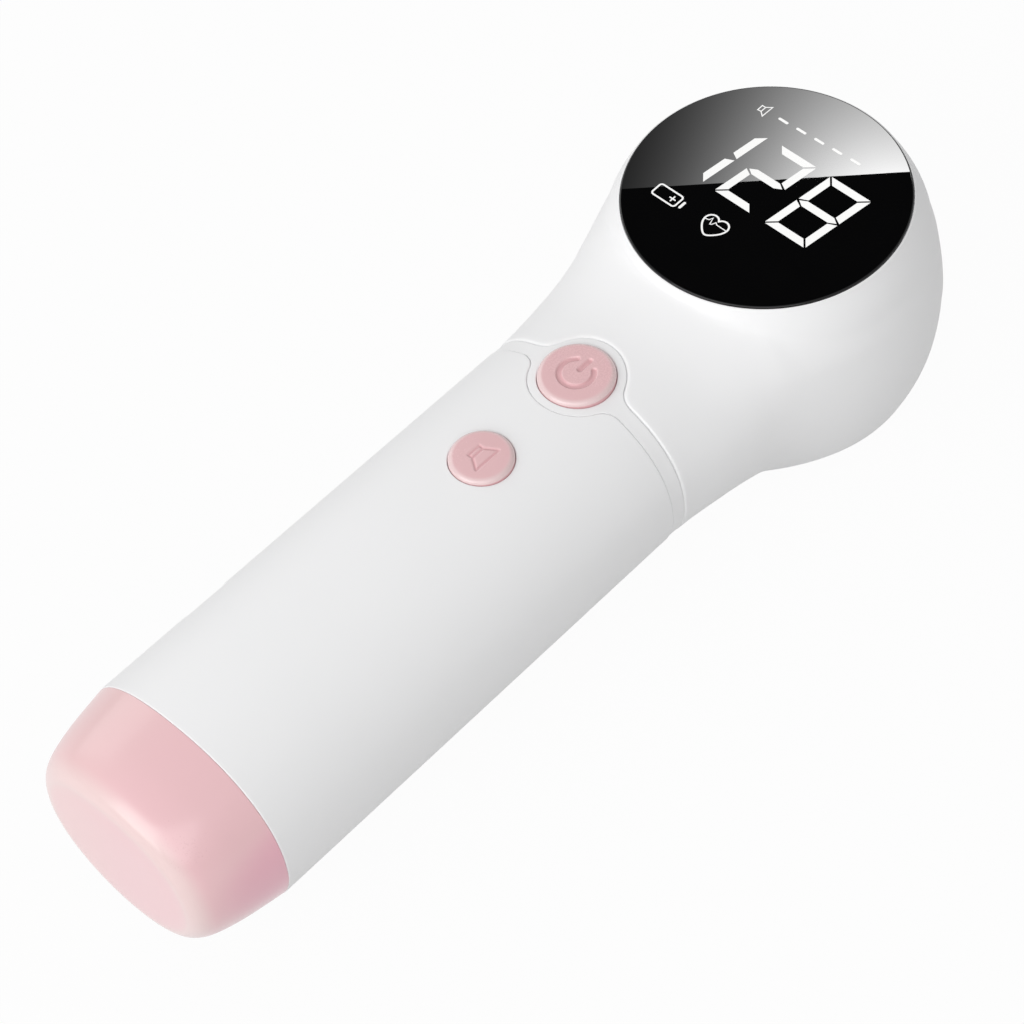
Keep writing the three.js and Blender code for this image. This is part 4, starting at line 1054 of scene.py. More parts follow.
def head_point(turn, tilt, inset=0.0):
    """Point of the head's skin. turn goes from the handle's side towards +Y, tilt from +Z down.

    With a the bowl's distance, b the neck's and k the width of the blend, the distance is
    max(a, b) + h^2 k / 4, where h = max(k - |a - b|, 0) / k.
    """
    sine = np.sin(tilt)
    direction = np.stack([-sine * np.cos(turn), sine * np.sin(turn), np.cos(tilt)], -1)
    bowl = np.interp(tilt, PROFILE_TILT, PROFILE_REACH) - inset
    neck = neck_distance(direction, inset)
    end = RIM_TILT + (FOOT_TILT - RIM_TILT) * BLEND_START
    blend = NECK_BLEND * smooth_step(tilt, RIM_TILT, end)
    overlap = np.clip(blend - np.abs(bowl - neck), 0, None) / np.maximum(blend, BLEND_LEAST)
    reach = np.maximum(bowl, neck) + overlap ** 2 * blend / 4
    return direction * reach[..., None] + np.array([0, 0, HEAD_CENTRE])


widest = head_point(np.array(math.pi / 2), np.array(math.pi / 2))
print("half the head's width at its centre's height:", round(float(widest[1]), 2), "mm")

# %% [markdown]
# No moulded edge is sharp: each rolls over before it goes down into a gap, and that small roll
# catches the light. A Bevel modifier would round every edge alike. These edges follow curved
# outlines with a different clearance on each side, so their rings are worked out directly.

# %% Rolled lips
def bent_corner(first, corner, last, steps=4):
    """Rings on the curve (1-t)^2 first + 2t(1-t) corner + t^2 last."""
    shares = np.linspace(0, 1, steps + 1)[1:]
    return [(1 - t) ** 2 * first + 2 * t * (1 - t) * corner + t * t * last for t in shares]


def lip_rings(turns, side, gap, roll, depth, sunk=0.0, steps=5):
    """Rings that roll an edge over beside the collar's outline, and then go down a wall.

    At the angle a of a quarter circle the ring's inset is sunk + roll (1 - cos a), and it keeps
    the clearance gap + roll (1 - sin a) from the outline. A negative gap and roll lie within it.
    """
    rings = []
    for a in quarter(steps):
        station = collar_edge(turns, side, gap + roll * (1 - math.sin(a)))
        rings.append(oval(station, turns, sunk + abs(roll) * (1 - math.cos(a))))
    rings.append(oval(collar_edge(turns, side, gap), turns, sunk + depth))
    return rings


def square_lip(turns, end, roll, inset=0.0, steps=4):
    """Rings that roll an edge over at a square end. At the angle a of a quarter circle the ring
    stands at end + roll (1 - sin a), and its inset has grown by |roll| (1 - cos a)."""
    return [
        oval_ring(turns, end + roll * (1 - math.sin(a)), inset + abs(roll) * (1 - math.cos(a)))
        for a in quarter(steps)
    ]


print("rings in a rolled lip:", len(lip_rings(crowded_turns(12, 0), 1, 0, 0.2, 1)))

# %% [markdown]
# The neck ends where the collar begins, and it has to follow the collar's eye exactly. Cutting
# the head with a copy of the collar would leave slivers along the cut. The head's grid speaks
# in turns and tilts about the head's centre, so the end of the neck is translated into them.

# %% End of the neck
NECK_GAP, NECK_ROLL, NECK_DEPTH = 0.03, 0.6, 1.2


def neck_end(angle):
    """Turn and tilt, seen from the head's centre, of the neck's end at the collar: the two
    angles of the vector from that centre to the collar's outline, grown by gap and roll."""
    turn = angle + math.pi / 2
    point = oval(collar_edge(turn, 1, NECK_GAP + NECK_ROLL), turn) - np.array([0, 0, HEAD_CENTRE])
    x, y, z = np.moveaxis(point, -1, 0)
    return np.stack([np.arctan2(np.hypot(x, y), z), np.arctan2(y, -x)], -1)


top_tilt = neck_end(np.array(-math.pi / 2))[0]
print("the neck ends", round(math.degrees(top_tilt), 1), "degrees from straight up")

# %% [markdown]
# A shell has an inside too, and it shows wherever a gap or a hole lets the eye in. A Solidify
# modifier could give the wall, but not the seat for the glass and the broad ring at the foot. So
# the inner skin comes from the same function, with an inset.

# %% Outer and inner skin of the head
HEAD_WALL = 2.0
HEAD_TRIM, TRIM_START, TRIM_END = 0.14, -36, -12
SEAT_HEIGHT, SEAT_MOUTH = 40.7, 22.0


def head_skins(grid):
    """Outer and inner skin over a grid of tilts and turns. The outer one is trimmed where it is
    the bowl, by a soft step along X, and the inner one lies a wall's thickness within."""
    tilts, turns = grid[..., 0], grid[..., 1]
    station = head_point(turns, tilts)[..., 0]
    outer = head_point(turns, tilts, HEAD_TRIM * smooth_step(station, TRIM_START, TRIM_END))
    outer[..., 2] = np.maximum(outer[..., 2], FOOT_HEIGHT)
    inner = head_point(turns, tilts, HEAD_WALL)
    inner[..., 2] = np.clip(inner[..., 2], FOOT_HEIGHT + HEAD_WALL, SEAT_HEIGHT - HEAD_WALL)
    return outer, inner


def flat_ring(radius, height, turns):
    """A level circle about the head's axis: (-r cos, r sin, height) of each turn."""
    return np.stack([-radius * np.cos(turns), radius * np.sin(turns), np.full_like(turns, height)], -1)


print("wall of the head:", HEAD_WALL, "mm, seat of the glass at", SEAT_HEIGHT, "mm")

# %% [markdown]
# Now the moulding comes together: a grid whose rows run from the display's rim down to the foot,
# with a window at the neck's end, and rings that join the two skins at rim, foot and neck. At the
# rim they step down to the seat on which the glass lies. Nothing is merged or cut afterwards, so
# the shading is even from the glass to the collar.

# %% Skin of head and neck
HEAD_ROWS, HEAD_COLUMNS, HEAD_CROWDING = 100, 380, 0.35
TILT_MARGIN = 0.012
NECK_ROW_MIDDLE, NECK_BLOCK, NECK_RINGS = 51, (32, 38), 16
FOOT_ROLL, FOOT_MOUTH = 0.5, 20.9


def rim_rings(edge, turns):
    """From the skin's first row round the rim, down to the seat and inwards."""
    corner, mouth = (flat_ring(radius, RIM_HEIGHT, turns) for radius in (RIM_RADIUS, RIM_MOUTH))
    rings = bent_corner(edge, corner, mouth)
    seat = [(RIM_MOUTH, SEAT_HEIGHT), (SEAT_MOUTH, SEAT_HEIGHT), (SEAT_MOUTH, SEAT_HEIGHT - HEAD_WALL)]
    return rings + [flat_ring(radius, height, turns) for radius, height in seat]


def foot_rings(edge, turns):
    """From the skin's last row round the foot, over its flat ring and up the hole."""
    sole = flat_ring(FOOT_RADIUS - FOOT_ROLL, FOOT_HEIGHT, turns)
    rings = bent_corner(edge, flat_ring(FOOT_RADIUS, FOOT_HEIGHT, turns), sole)
    return rings + [flat_ring(FOOT_MOUTH, height, turns) for height in (FOOT_HEIGHT, FOOT_HEIGHT + HEAD_WALL)]


def head_mesh():
    """Tilts run evenly from just below the rim to just above the foot, and turns once round."""
    turns = -crowded_turns(HEAD_COLUMNS, HEAD_CROWDING)[::-1]
    tilts = np.linspace(RIM_TILT + TILT_MARGIN, FOOT_TILT - TILT_MARGIN, HEAD_ROWS + 1)
    grid = np.stack(np.broadcast_arrays(tilts[:, None], turns[None, :]), -1)
    spot = (NECK_ROW_MIDDLE, int(np.argmin(np.abs(turns))))
    grid, keep, read = open_window(grid, spot, NECK_BLOCK, NECK_RINGS, neck_end)
    outer, inner = head_skins(grid)
    skin = Skin()
    outer_numbers, inner_numbers = skin.add(outer), skin.add(inner)
    skin.weave_round(outer_numbers, keep)
    skin.weave_round(inner_numbers, keep)
    skin.chain(outer_numbers[0], rim_rings(outer[0], turns), inner_numbers[0])
    skin.chain(outer_numbers[-1], foot_rings(outer[-1], turns), inner_numbers[-1])
    end = outer.reshape(-1, 3)[read(outer_numbers)]
    around = np.arctan2(end[:, 1], end[:, 2] - HEAD_CENTRE)
    lip = lip_rings(around, 1, NECK_GAP, NECK_ROLL, NECK_DEPTH)
    skin.chain(read(outer_numbers), lip, read(inner_numbers))
    return skin.mesh("head_cover")


show("head_cover", head_mesh(), white_finish, "monitor", "white_plastic", "head_shell")

# %% [markdown]
# Collar and sleeve each have a round well in which a key slides. On the real object the wall of
# the well is upright and its edge slightly rounded. A cut with a round bar would give the
# wall, but not the edge's roll on a curved skin. So the window's ring is rolled over along the
# skin's own tangent, and then goes straight down.

# %% Wells for the keys
WELL_GAP = 0.11
WELL_ROLL = 0.15


def rolled_edge(ring, inside, radius, depth, steps=4):
    """Rings that roll an edge inwards on a quarter circle, and then a wall straight down.

    With T the direction out of the skin at the edge and N the inward normal, the roll is
    ring + radius (T sin a + N (1 - cos a)). The wall is upright, as the key slides along it.
    """
    forward = np.roll(ring, -1, 0) - np.roll(ring, 1, 0)
    forward /= np.linalg.norm(forward, axis=1, keepdims=True)
    out = ring - inside
    out -= (out * forward).sum(1, keepdims=True) * forward
    out /= np.linalg.norm(out, axis=1, keepdims=True)
    normal = np.cross(forward, out)
    inward = np.array([ring[:, 0].mean(), 0, HEAD_CENTRE]) - ring
    normal *= np.sign((normal * inward).sum(1, keepdims=True))
    rings = [ring + radius * (out * math.sin(a) + normal * (1 - math.cos(a))) for a in quarter(steps)]
    return rings + [rings[-1] - np.array([0, 0, depth])]


def well_edge(x, radius, inset=0.0, way=1):
    """Edge of a round well in the handle, as a function of the angle. way is 1 where the grid's
    rows run towards the head, and -1 where they run to the tail."""
    def edge(angle):
        """Station x + way r sin a, and the turn above the side r cos a."""
        station = x + way * radius * np.sin(angle)
        side = radius * np.cos(angle)
        return np.stack([station, turn_above(station, side, inset)], -1)
    return edge


print("gap round a key:", WELL_GAP, "mm")

# %% [markdown]
# Collar and sleeve are made in the same steps: an outer skin, an inner skin, lips at both ends
# and a well. A class keeps what the steps share, so that each shell below is a short list of
# what is special about it. Two copies of the same lines would soon differ.

# %% A shell with a well
class Shell:
    """Outer and inner skin over one grid of stations and turns, with a round well."""

    def __init__(self, grid, spot, block, rings, corner=math.pi / 4):
        self.skin = Skin()
        self.grid, self.spot, self.block = grid, spot, block
        self.rings, self.corner = rings, corner
        self.layers = []

    def add_layer(self, inset, edge):
        """A skin at an inset from the oval, with a window of this edge."""
        moved, keep, self.read = open_window(
            self.grid, self.spot, self.block, self.rings, edge, self.corner)
        points = oval(moved[..., 0], moved[..., 1], inset)
        numbers = self.skin.add(points)
        self.skin.weave_round(numbers, keep)
        self.layers.append((points, numbers))

    def join(self, row, rings):
        """Bridges the two skins through rings, along their first or last row."""
        self.skin.chain(self.layers[0][1][row], rings, self.layers[1][1][row])

    def join_well(self, depth):
        """Bridges them round the well, with a rolled edge and an upright wall."""
        (outer, outer_numbers), (_, inner_numbers) = self.layers
        flat = outer.reshape(-1, 3)
        ring = self.read(np.arange(len(flat)).reshape(outer.shape[:-1]))
        inside = ring_neighbours(self.spot, self.block, outer)
        edge_rings = rolled_edge(flat[ring], inside, WELL_ROLL, depth)
        self.skin.chain(self.read(outer_numbers), edge_rings, self.read(inner_numbers))


def columns_to(turns, station, reach):
    """The column on top of the oval, and how many columns on the oval is a reach to the side."""
    column = int(np.argmin(np.abs(turns)))
    side = oval(station, turns)[column:column + len(turns) // 4, 1]
    return column, int(np.argmin(np.abs(side - reach)))


even_turns = crowded_turns(360, 0)
print("with even columns of a degree, 8 mm to the side is", columns_to(even_turns, -60.0, 8.0)[1], "columns")

# %% [markdown]
# The collar lies a hair deeper than the sleeve, and its own edges are rolled, which draws the
# bright line round the eye. It could be cut out of the sleeve, but it is a part of its own, with
# a gap on either side. Its grid runs round the oval between its two outlines, with rows crowded
# at the edges, and a window in it becomes the well of the power button.

# %% Collar with the power button's well
COLLAR_SUNK = 0.12
COLLAR_ROLL = 0.17
COLLAR_DEPTH = 3.3
POWER_RADIUS = 6.38
POWER_WELL_DEPTH = 1.2
COLLAR_COLUMNS, COLLAR_ROWS = 340, 24
COLUMN_CROWDING, ROW_CROWDING = 0.55, 0.153
COLLAR_RINGS, COLLAR_CORNER = 5, math.radians(76)
EYE_SIDE = 11.2


def collar_mesh():
    """Stations run from the tail's outline to the head's with the share s - c sin(2 pi s), and
    turns run once round."""
    turns = crowded_turns(COLLAR_COLUMNS, COLUMN_CROWDING)
    share = np.linspace(0, 1, COLLAR_ROWS + 1)[:, None]
    share = share - ROW_CROWDING * np.sin(2 * math.pi * share)
    tail, front = (collar_edge(turns, side, -COLLAR_ROLL)[None, :] for side in (-1, 1))
    grid = np.stack(np.broadcast_arrays(tail + (front - tail) * share, turns[None, :]), -1)
    column, wide = columns_to(turns, -COLLAR_PLACE, EYE_SIDE)
    tall = COLLAR_ROWS // 2
    block = (tall - COLLAR_RINGS, wide - COLLAR_RINGS)
    shell = Shell(grid, (tall, column), block, COLLAR_RINGS, COLLAR_CORNER)
    radius = POWER_RADIUS + WELL_GAP
    shell.add_layer(COLLAR_SUNK, well_edge(-COLLAR_PLACE, radius + WELL_ROLL, COLLAR_SUNK))
    shell.add_layer(COLLAR_DEPTH, well_edge(-COLLAR_PLACE, radius, COLLAR_DEPTH))
    for row, side in ((0, -1), (-1, 1)):
        shell.join(row, lip_rings(turns, side, 0, -COLLAR_ROLL, COLLAR_DEPTH - COLLAR_SUNK, COLLAR_SUNK))
    shell.join_well(POWER_WELL_DEPTH)
    return shell.skin.mesh("collar_trim")


show("collar_trim", collar_mesh(), white_finish, "monitor", "white_plastic", "collar_ring")

# %% [markdown]
# The sleeve is the white tube that the hand holds. It starts a thin gap behind the collar,
# follows the collar's eye, and ends square where the cap begins. A stretched cylinder with a
# Subdivision Surface would come close, but wouldn't meet the collar's outline. So its grid runs
# from that outline straight to the tail, with a well for the volume button on top.

# %% Sleeve
SLEEVE_GAP, SLEEVE_ROLL, SLEEVE_WALL = 0.03, 0.2, 2.0
SLEEVE_TAIL = 133.99
SLEEVE_ROWS, SLEEVE_COLUMNS, SLEEVE_CROWDING = 130, 240, 0.45
FIRST_ROW = 0.0015
VOLUME_PLACE, VOLUME_RADIUS, VOLUME_WELL_DEPTH = 67.75, 5.33, 1.0
VOLUME_FRAME_ROWS, VOLUME_FRAME_SIDE, VOLUME_RINGS = 13, 9.0, 6


def sleeve_mesh():
    """Stations run evenly from the collar's outline to the tail, but for the second row and the
    last but one, which lie close to the ends and keep the shading of the lips there."""
    turns = crowded_turns(SLEEVE_COLUMNS, SLEEVE_CROWDING)
    share = np.linspace(0, 1, SLEEVE_ROWS + 1)[:, None]
    share[1], share[-2] = FIRST_ROW, 1 - FIRST_ROW
    front = collar_edge(turns, -1, SLEEVE_GAP + SLEEVE_ROLL)[None, :]
    tail = -SLEEVE_TAIL + SLEEVE_ROLL
    grid = np.stack(np.broadcast_arrays(front + (tail - front) * share, turns[None, :]), -1)
    column, wide = columns_to(turns, -VOLUME_PLACE, VOLUME_FRAME_SIDE)
    row = int(np.argmin(np.abs(grid[:, column, 0] + VOLUME_PLACE)))
    block = (VOLUME_FRAME_ROWS - VOLUME_RINGS, wide - VOLUME_RINGS)
    shell = Shell(grid, (row, column), block, VOLUME_RINGS)
    radius = VOLUME_RADIUS + WELL_GAP
    shell.add_layer(0.0, well_edge(-VOLUME_PLACE, radius + WELL_ROLL, 0.0, -1))
    shell.add_layer(SLEEVE_WALL, well_edge(-VOLUME_PLACE, radius, SLEEVE_WALL, -1))
    shell.join(0, lip_rings(turns, -1, SLEEVE_GAP, SLEEVE_ROLL, SLEEVE_WALL - SLEEVE_ROLL))
    shell.join(-1, square_lip(turns, -SLEEVE_TAIL, SLEEVE_ROLL))
    shell.join_well(VOLUME_WELL_DEPTH)
    return shell.skin.mesh("handle_cover")


handle_cover = show("handle_cover", sleeve_mesh(), white_finish, "monitor", "white_plastic", "handle_sleeve")

# %% [markdown]
# The cap closes the tail of the handle. It is one bowl over the same oval: its inset grows
# slowly at first and then turns over a soft shoulder into an almost flat end. A bevelled block
# would have the same width of rounding all round, but the real shoulder is long on the sides and
# short at the end, so the inset follows a smooth path of measured points. A skirt inside the
# sleeve holds it.

# %% Tail cap
CAP_SEAM, CAP_END = 134.02, 149.8
CAP_ROLL = 0.05
CAP_ROWS, CAP_COLUMNS, CAP_CROWDING = 56, 200, 0.3
CAP_STATIONS = [
    (0.0, 0.06), (3.9, 0.64), (7.8, 1.33), (10.9, 2.12), (12.9, 2.85),
    (14.4, 3.8), (15.3, 4.95), (15.65, 6.2), (15.75, 8.4),
]
CAP_FACE_INSETS = (10.5, 13.0, 15.5, 17.0)
CAP_SKIRT = [(0, 2.3), (-5.5, 2.3), (-5.5, 3.8), (9, 4.6), (12, 9)]


def cap_mesh():
    """Each ring is the oval at the seam plus a distance, less an inset; both come from the path
    through CAP_STATIONS. Further rings close the flat face, and others lead into the skirt."""
    turns = crowded_turns(CAP_COLUMNS, CAP_CROWDING)
    skin = Skin()
    distance, inset = soft_path(CAP_STATIONS, CAP_ROWS).T[..., None]
    numbers = skin.add(oval(-CAP_SEAM - np.maximum(distance, CAP_ROLL), turns[None, :], inset))
    skin.weave_round(numbers)
    face = [oval_ring(turns, -CAP_END, depth) for depth in CAP_FACE_INSETS]
    skin.cap(skin.chain(numbers[-1], face))
    seam = square_lip(turns, -CAP_SEAM, -CAP_ROLL, CAP_STATIONS[0][1])
    seam += [oval_ring(turns, -(CAP_SEAM + way), depth) for way, depth in CAP_SKIRT]
    skin.cap(skin.chain(numbers[0], seam))
    return skin.mesh("tail_cap")


show("tail_cap", cap_mesh(), cap_pink, "monitor", "pink_plastic", "end_cap")

# %% [markdown]
# The sleeve's left flank has the mouth of the charging socket, and its underside a small field
# of sound holes over the loudspeaker. Windows in the grid would be needed seventeen times over.
# These openings are small and plain and have no rolled edge, so straight bars will cut them.

# %% Bars that cut the openings
SOCKET_PLACE, SOCKET_HALF, SOCKET_CORNER = 112.0, (4.8, 1.9), 1.45
SOCKET_REACH = (12, 26)
SPEAKER_PLACE, SPEAKER_STEP, SPEAKER_COUNTS = 61.5, 2.3, (1, 6, 9)
HOLE_RADIUS, HOLE_REACH = 0.6, (-2, 6)


def bar(skin, outline, start, end):
    """A closed bar: an outline of points carried from an offset start to an offset end."""
    first, last = skin.add(outline + np.asarray(start)), skin.add(outline + np.asarray(end))
    skin.weave_round(np.stack([first, last]))
    skin.cap(first)
    skin.cap(last[::-1])


def socket_bar(skin):
    """A bar along Y. Its outline is the socket's half size less the corner, with the sign of
    cosine and sine, plus a circle of the corner's radius."""
    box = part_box("charge_socket")
    height = (box[0].z + box[1].z) / 2 / MM
    angle = np.linspace(0, 2 * math.pi, 48, endpoint=False)
    across, up = np.cos(angle), np.sin(angle)
    width, rise = (half - SOCKET_CORNER for half in SOCKET_HALF)
    mouth = np.stack([
        -SOCKET_PLACE + width * np.sign(across) + SOCKET_CORNER * across,
        np.zeros_like(angle),
        height + rise * np.sign(up) + SOCKET_CORNER * up,
    ], -1)
    bar(skin, mouth, (0, SOCKET_REACH[0], 0), (0, SOCKET_REACH[1], 0))


def sound_bars(skin):
    """Upright round bars: one in the middle, and rings of six and nine about it."""
    turn = np.linspace(0, 2 * math.pi, 20, endpoint=False)
    circle = HOLE_RADIUS * np.stack([np.cos(turn), np.sin(turn), 0 * turn], -1)
    for ring, count in enumerate(SPEAKER_COUNTS):
        for i in range(count):
            a = i / count * 2 * math.pi
            spot = np.array([math.cos(a), math.sin(a), 0]) * ring * SPEAKER_STEP - (SPEAKER_PLACE, 0, 0)
            bar(skin, spot + circle, (0, 0, HOLE_REACH[0]), (0, 0, HOLE_REACH[1]))


openings = Skin()
socket_bar(openings)
sound_bars(openings)
print("bars:", 1 + sum(SPEAKER_COUNTS))

# %% [markdown]
# The Boolean modifier takes the bars out of the sleeve. Its exact solver is slower than the fast
# one, but it copes with walls that meet the skin at a slant. The result is read back as a new
# mesh and the modifier removed: a live one would cut again whenever the piece is exported.

# %% Openings in the sleeve
def cut_out(piece, cutter_mesh):
    """Takes the cutter's space out of a piece, and keeps the result as the piece's own mesh."""
    cutter = bpy.data.objects.new("cutter", cutter_mesh)
    bpy.context.collection.objects.link(cutter)
    modifier = piece.modifiers.new("cut", "BOOLEAN")
    modifier.operation = "DIFFERENCE"
    modifier.solver = "EXACT"
    modifier.object = cutter
    graph = bpy.context.evaluated_depsgraph_get()
    result = bpy.data.meshes.new_from_object(piece.evaluated_get(graph))
    piece.modifiers.clear()
    piece.data = result
    bpy.data.objects.remove(cutter)
    result.set_sharp_from_angle(angle=math.radians(SHARP_DEGREES))
    print(piece.name, "faces after the cut:", len(result.polygons))


cut_out(handle_cover, openings.mesh("openings", 30))

# %% [markdown]
# The signs on the keys are pressed in: an open ring with a bar for power, and a small box with a
# horn for the volume. They could be cut out, or laid on as a bump. A bump has no real edge from
# the side, and a cut has a sharp one. So each sign is a distance: how far is a point of the key
# from the sign's lines? Where it is near, the key's own surface is lowered softly.

# %% Signs on the keys
def near_line(x, u, ends):
    """Distance of points from a straight line between two ends."""
    (x0, u0), (x1, u1) = ends
    dx, du = x1 - x0, u1 - u0
    along = np.clip(((x - x0) * dx + (u - u0) * du) / (dx * dx + du * du), 0, 1)
    return np.hypot(x - x0 - along * dx, u - u0 - along * du)


POWER_RING, POWER_GAP, POWER_BAR = 2.85, math.radians(40), ((0.8, 0), (3.2, 0))
HORN = [(-1.2, -1.55), (1.2, -1.55), (1.2, -0.73), (2.57, 1.41), (-2.57, 1.41), (-1.2, -0.73)]
HORN_LINES = [(HORN[i], HORN[(i + 1) % 6]) for i in range(6)] + [(HORN[2], HORN[5])]


def power_sign(x, u):
    """Distance from an open ring with a bar through the gap, which faces the head. On the ring
    it is | sqrt(x^2 + u^2) - R |, and in the gap the way to the nearer of its two ends."""
    off, side = POWER_RING * math.cos(POWER_GAP), POWER_RING * math.sin(POWER_GAP)
    ends = np.minimum(np.hypot(x - off, u + side), np.hypot(x - off, u - side))
    arc = np.where(np.abs(np.arctan2(u, x)) > POWER_GAP, np.abs(np.hypot(x, u) - POWER_RING), ends)
    return np.minimum(arc, near_line(x, u, POWER_BAR))


def volume_sign(x, u):
    """Distance from the nearest line of a small box and a horn that opens to the right."""
    return np.minimum.reduce([near_line(x, u, line) for line in HORN_LINES])


print("the power bar's middle is", float(power_sign(np.array(2.0), np.array(0.0))), "mm off the sign")

# %% [markdown]
# A key's crown is a low dome with a round shoulder, so that a thumb finds it and slides off
# without an edge. Blender's Screw modifier would turn such a profile, but the sign needs points
# all over the dome. So the crown is a grid of distances and angles, with its rings crowded
# towards the shoulder, and the sign's depth is taken off its height.

# %% Crown of a key
SIGN_SOFTNESS = 0.22
CROWN_HEIGHT = 0.1
SHOULDER, SHOULDER_TURN = 0.95, math.radians(75)
KEY_SECTORS, KEY_RINGS, KEY_CROWDING = 224, 99, 1.35
KEY_ANGLES = np.linspace(0, 2 * math.pi, KEY_SECTORS, endpoint=False)


def key_crown(place, radius, top, sign, half, depth):
    """Points of the crown, ring by ring inwards, and the mask of those in the sign.

    At a distance r from its middle the crown lies at top - crown (r / radius)^2, and near the
    edge a circle of radius s takes it down by s - sqrt(s^2 - q^2), with q the way past the
    circle's start. The sign's depth is taken off where a point is nearer than half a line.
    """
    share = 1 - np.linspace(0, 1, KEY_RINGS + 1)[:-1] ** KEY_CROWDING
    r = (radius * share)[:, None] * np.ones(KEY_SECTORS)
    x, u = r * np.cos(KEY_ANGLES), r * np.sin(KEY_ANGLES)
    distance = sign(x, u)
    sunk = depth * (1 - smooth_step(distance, half - SIGN_SOFTNESS, half + SIGN_SOFTNESS))
    over = np.clip(r - radius + SHOULDER * math.sin(SHOULDER_TURN), 0, None)
    fall = SHOULDER - np.sqrt(SHOULDER ** 2 - over ** 2)
    z = top - CROWN_HEIGHT * (r / radius) ** 2 - fall - sunk
    return np.stack([-place + x, -u, z], -1), distance < half


print("points in a crown:", KEY_SECTORS * KEY_RINGS)

# %% [markdown]
# Below the crown a key has a straight side, a lip that is wider than the well and keeps it from
# falling out, and a stem that meets the switch. None of that shows, but it is there when the
# key is pressed or the model is cut open. Its profile has only five points, so these rings are
# simply chained on. The faces in the sign and the side get the groove's finish of painted shade.

# %% Sides, lip and stem of a key
LIP_REACH, LIP_THICKNESS, LIP_CLEARANCE, STEM_RADIUS = 0.95, 1.2, 0.35, 2.6


def lip_height(place, reach, wall):
    """Underside of the shell over a key's lip, less the clearance."""
    return float(oval(-place, turn_above(-place, reach, wall), wall)[2]) - LIP_CLEARANCE


def key_sides(place, radius, wall, bottom):
    """Level rings (r cos a - place, -r sin a, z) at the profile's distances r and heights z."""
    reach = radius + LIP_REACH
    top = lip_height(place, reach, wall)
    profile = [(radius, top), (reach, top), (reach, top - LIP_THICKNESS)]
    profile += [(STEM_RADIUS, top - LIP_THICKNESS), (STEM_RADIUS, bottom)]
    ring = np.stack([np.cos(KEY_ANGLES), -np.sin(KEY_ANGLES), 0 * KEY_ANGLES], -1)
    return [ring * distance + np.array([-place, 0, height]) for distance, height in profile]


def colour_key(mesh, pressed, key_pink):
    """The first finish is the key's own. The faces in the sign, and all below the crown and
    the small face in its middle, get the second, which is the groove's, with its painted shade."""
    crown = (KEY_RINGS - 1) * KEY_SECTORS
    second = np.ones(len(mesh.polygons), np.int32)
    second[:crown] = pressed[:-1].ravel()
    second[crown] = 0
    mesh.materials.append(key_pink)
    mesh.materials.append(groove_painted_shade_finish)
    mesh.polygons.foreach_set("material_index", second)


print("lip of a key:", LIP_REACH, "mm wider than its well")

# %% [markdown]
# Both keys come from the same steps with other numbers. Each rides on its own body and stands
# for its own node, so that it moves when the joint does. Joining them to the shells would look
# the same at rest and tear at the first press.

# %% Keys
COLLAR_WALL = 3.5
KEY_SHARP_DEGREES = 50
# place, radius, wall of the shell, sign, half the width of its lines and their depth
KEYS = {
    "power": (COLLAR_PLACE, POWER_RADIUS, COLLAR_WALL, power_sign, 0.40, 0.32),
    "volume": (VOLUME_PLACE, VOLUME_RADIUS, SLEEVE_WALL, volume_sign, 0.18, 0.21),
}

for kind, (place, radius, wall, sign, half, depth) in KEYS.items():
    key, node = kind + "_key", kind + "_button"
    low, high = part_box(node)
    crown, pressed = key_crown(place, radius, high.z / MM, sign, half, depth)
    skin = Skin()
    numbers = skin.add(crown)
    skin.weave_round(numbers)
    skin.cap(numbers[-1])
    skin.cap(skin.chain(numbers[0], key_sides(place, radius, wall, low.z / MM))[::-1])
    mesh = skin.mesh(key, KEY_SHARP_DEGREES)
    colour_key(mesh, pressed, key_finish(key + "_finish", place * MM, radius * MM))
    show(key, mesh, None, node, "pink_plastic", node)

# %% [markdown]
# The glass, the probe's dish and the probe's face are turned on the head's upright axis, as they
# would be on a lathe. Each is a profile of radius and height that is carried round. The Screw
# modifier does just that, but here the profile first gets two more points on each long side,
# which keep the soft shading of a rounded corner from spreading over the flat beside it.

# %% Turning a profile
SUPPORT = 0.04
TURNED_SECTORS = 256


def supported(profile, closed):
    """The profile with two more points on each long side, a little way in from its ends.

    They keep the shading of a rounded corner from spreading over the flat beside it.
    """
    points = []
    ends = profile[1:] + (profile[:1] if closed else [])
    for start, end in zip(profile, ends):
        step = np.subtract(end, start)
        length = np.hypot(*step)
        points.append(start)
        if length > 6 * SUPPORT:
            points += [tuple(start + step * SUPPORT / length), tuple(end - step * SUPPORT / length)]
    return points if closed else points + profile[-1:]


def turned(name, profile, hollow=False):
    """Each point (r, z) of the profile becomes the ring (r cos a, r sin a, z). A hollow profile
    closes on itself, and any other one closes with a cap at each end."""
    angle = np.linspace(0, 2 * math.pi, TURNED_SECTORS, endpoint=False)
    r, z = np.array(supported(profile, hollow)).T[..., None]
    skin = Skin()
    numbers = skin.add(np.stack([r * np.cos(angle), r * np.sin(angle), z + 0 * angle], -1))
    skin.weave_round(numbers)
    if hollow:
        skin.weave_round(np.stack([numbers[-1], numbers[0]]))
    else:
        skin.cap(numbers[0])
        skin.cap(numbers[-1])
    return skin.mesh(name)


def round_corner(middle, radius, start, end, steps=5):
    """Profile points on a quarter circle about a middle, between two angles in degrees."""
    angles = np.radians(np.linspace(start, end, steps + 1))
    return [(middle[0] + radius * math.cos(a), middle[1] + radius * math.sin(a)) for a in angles]


print("a quarter round has", len(round_corner((0, 0), 1, 0, 90)), "points")

# %% [markdown]
# The display's glass is a flat disc that stands a third of a millimetre out of the head, with a
# finely rounded edge. A cylinder with a bevel would do for the edge, but not for the step below
# it, by which the glass sits in the head.

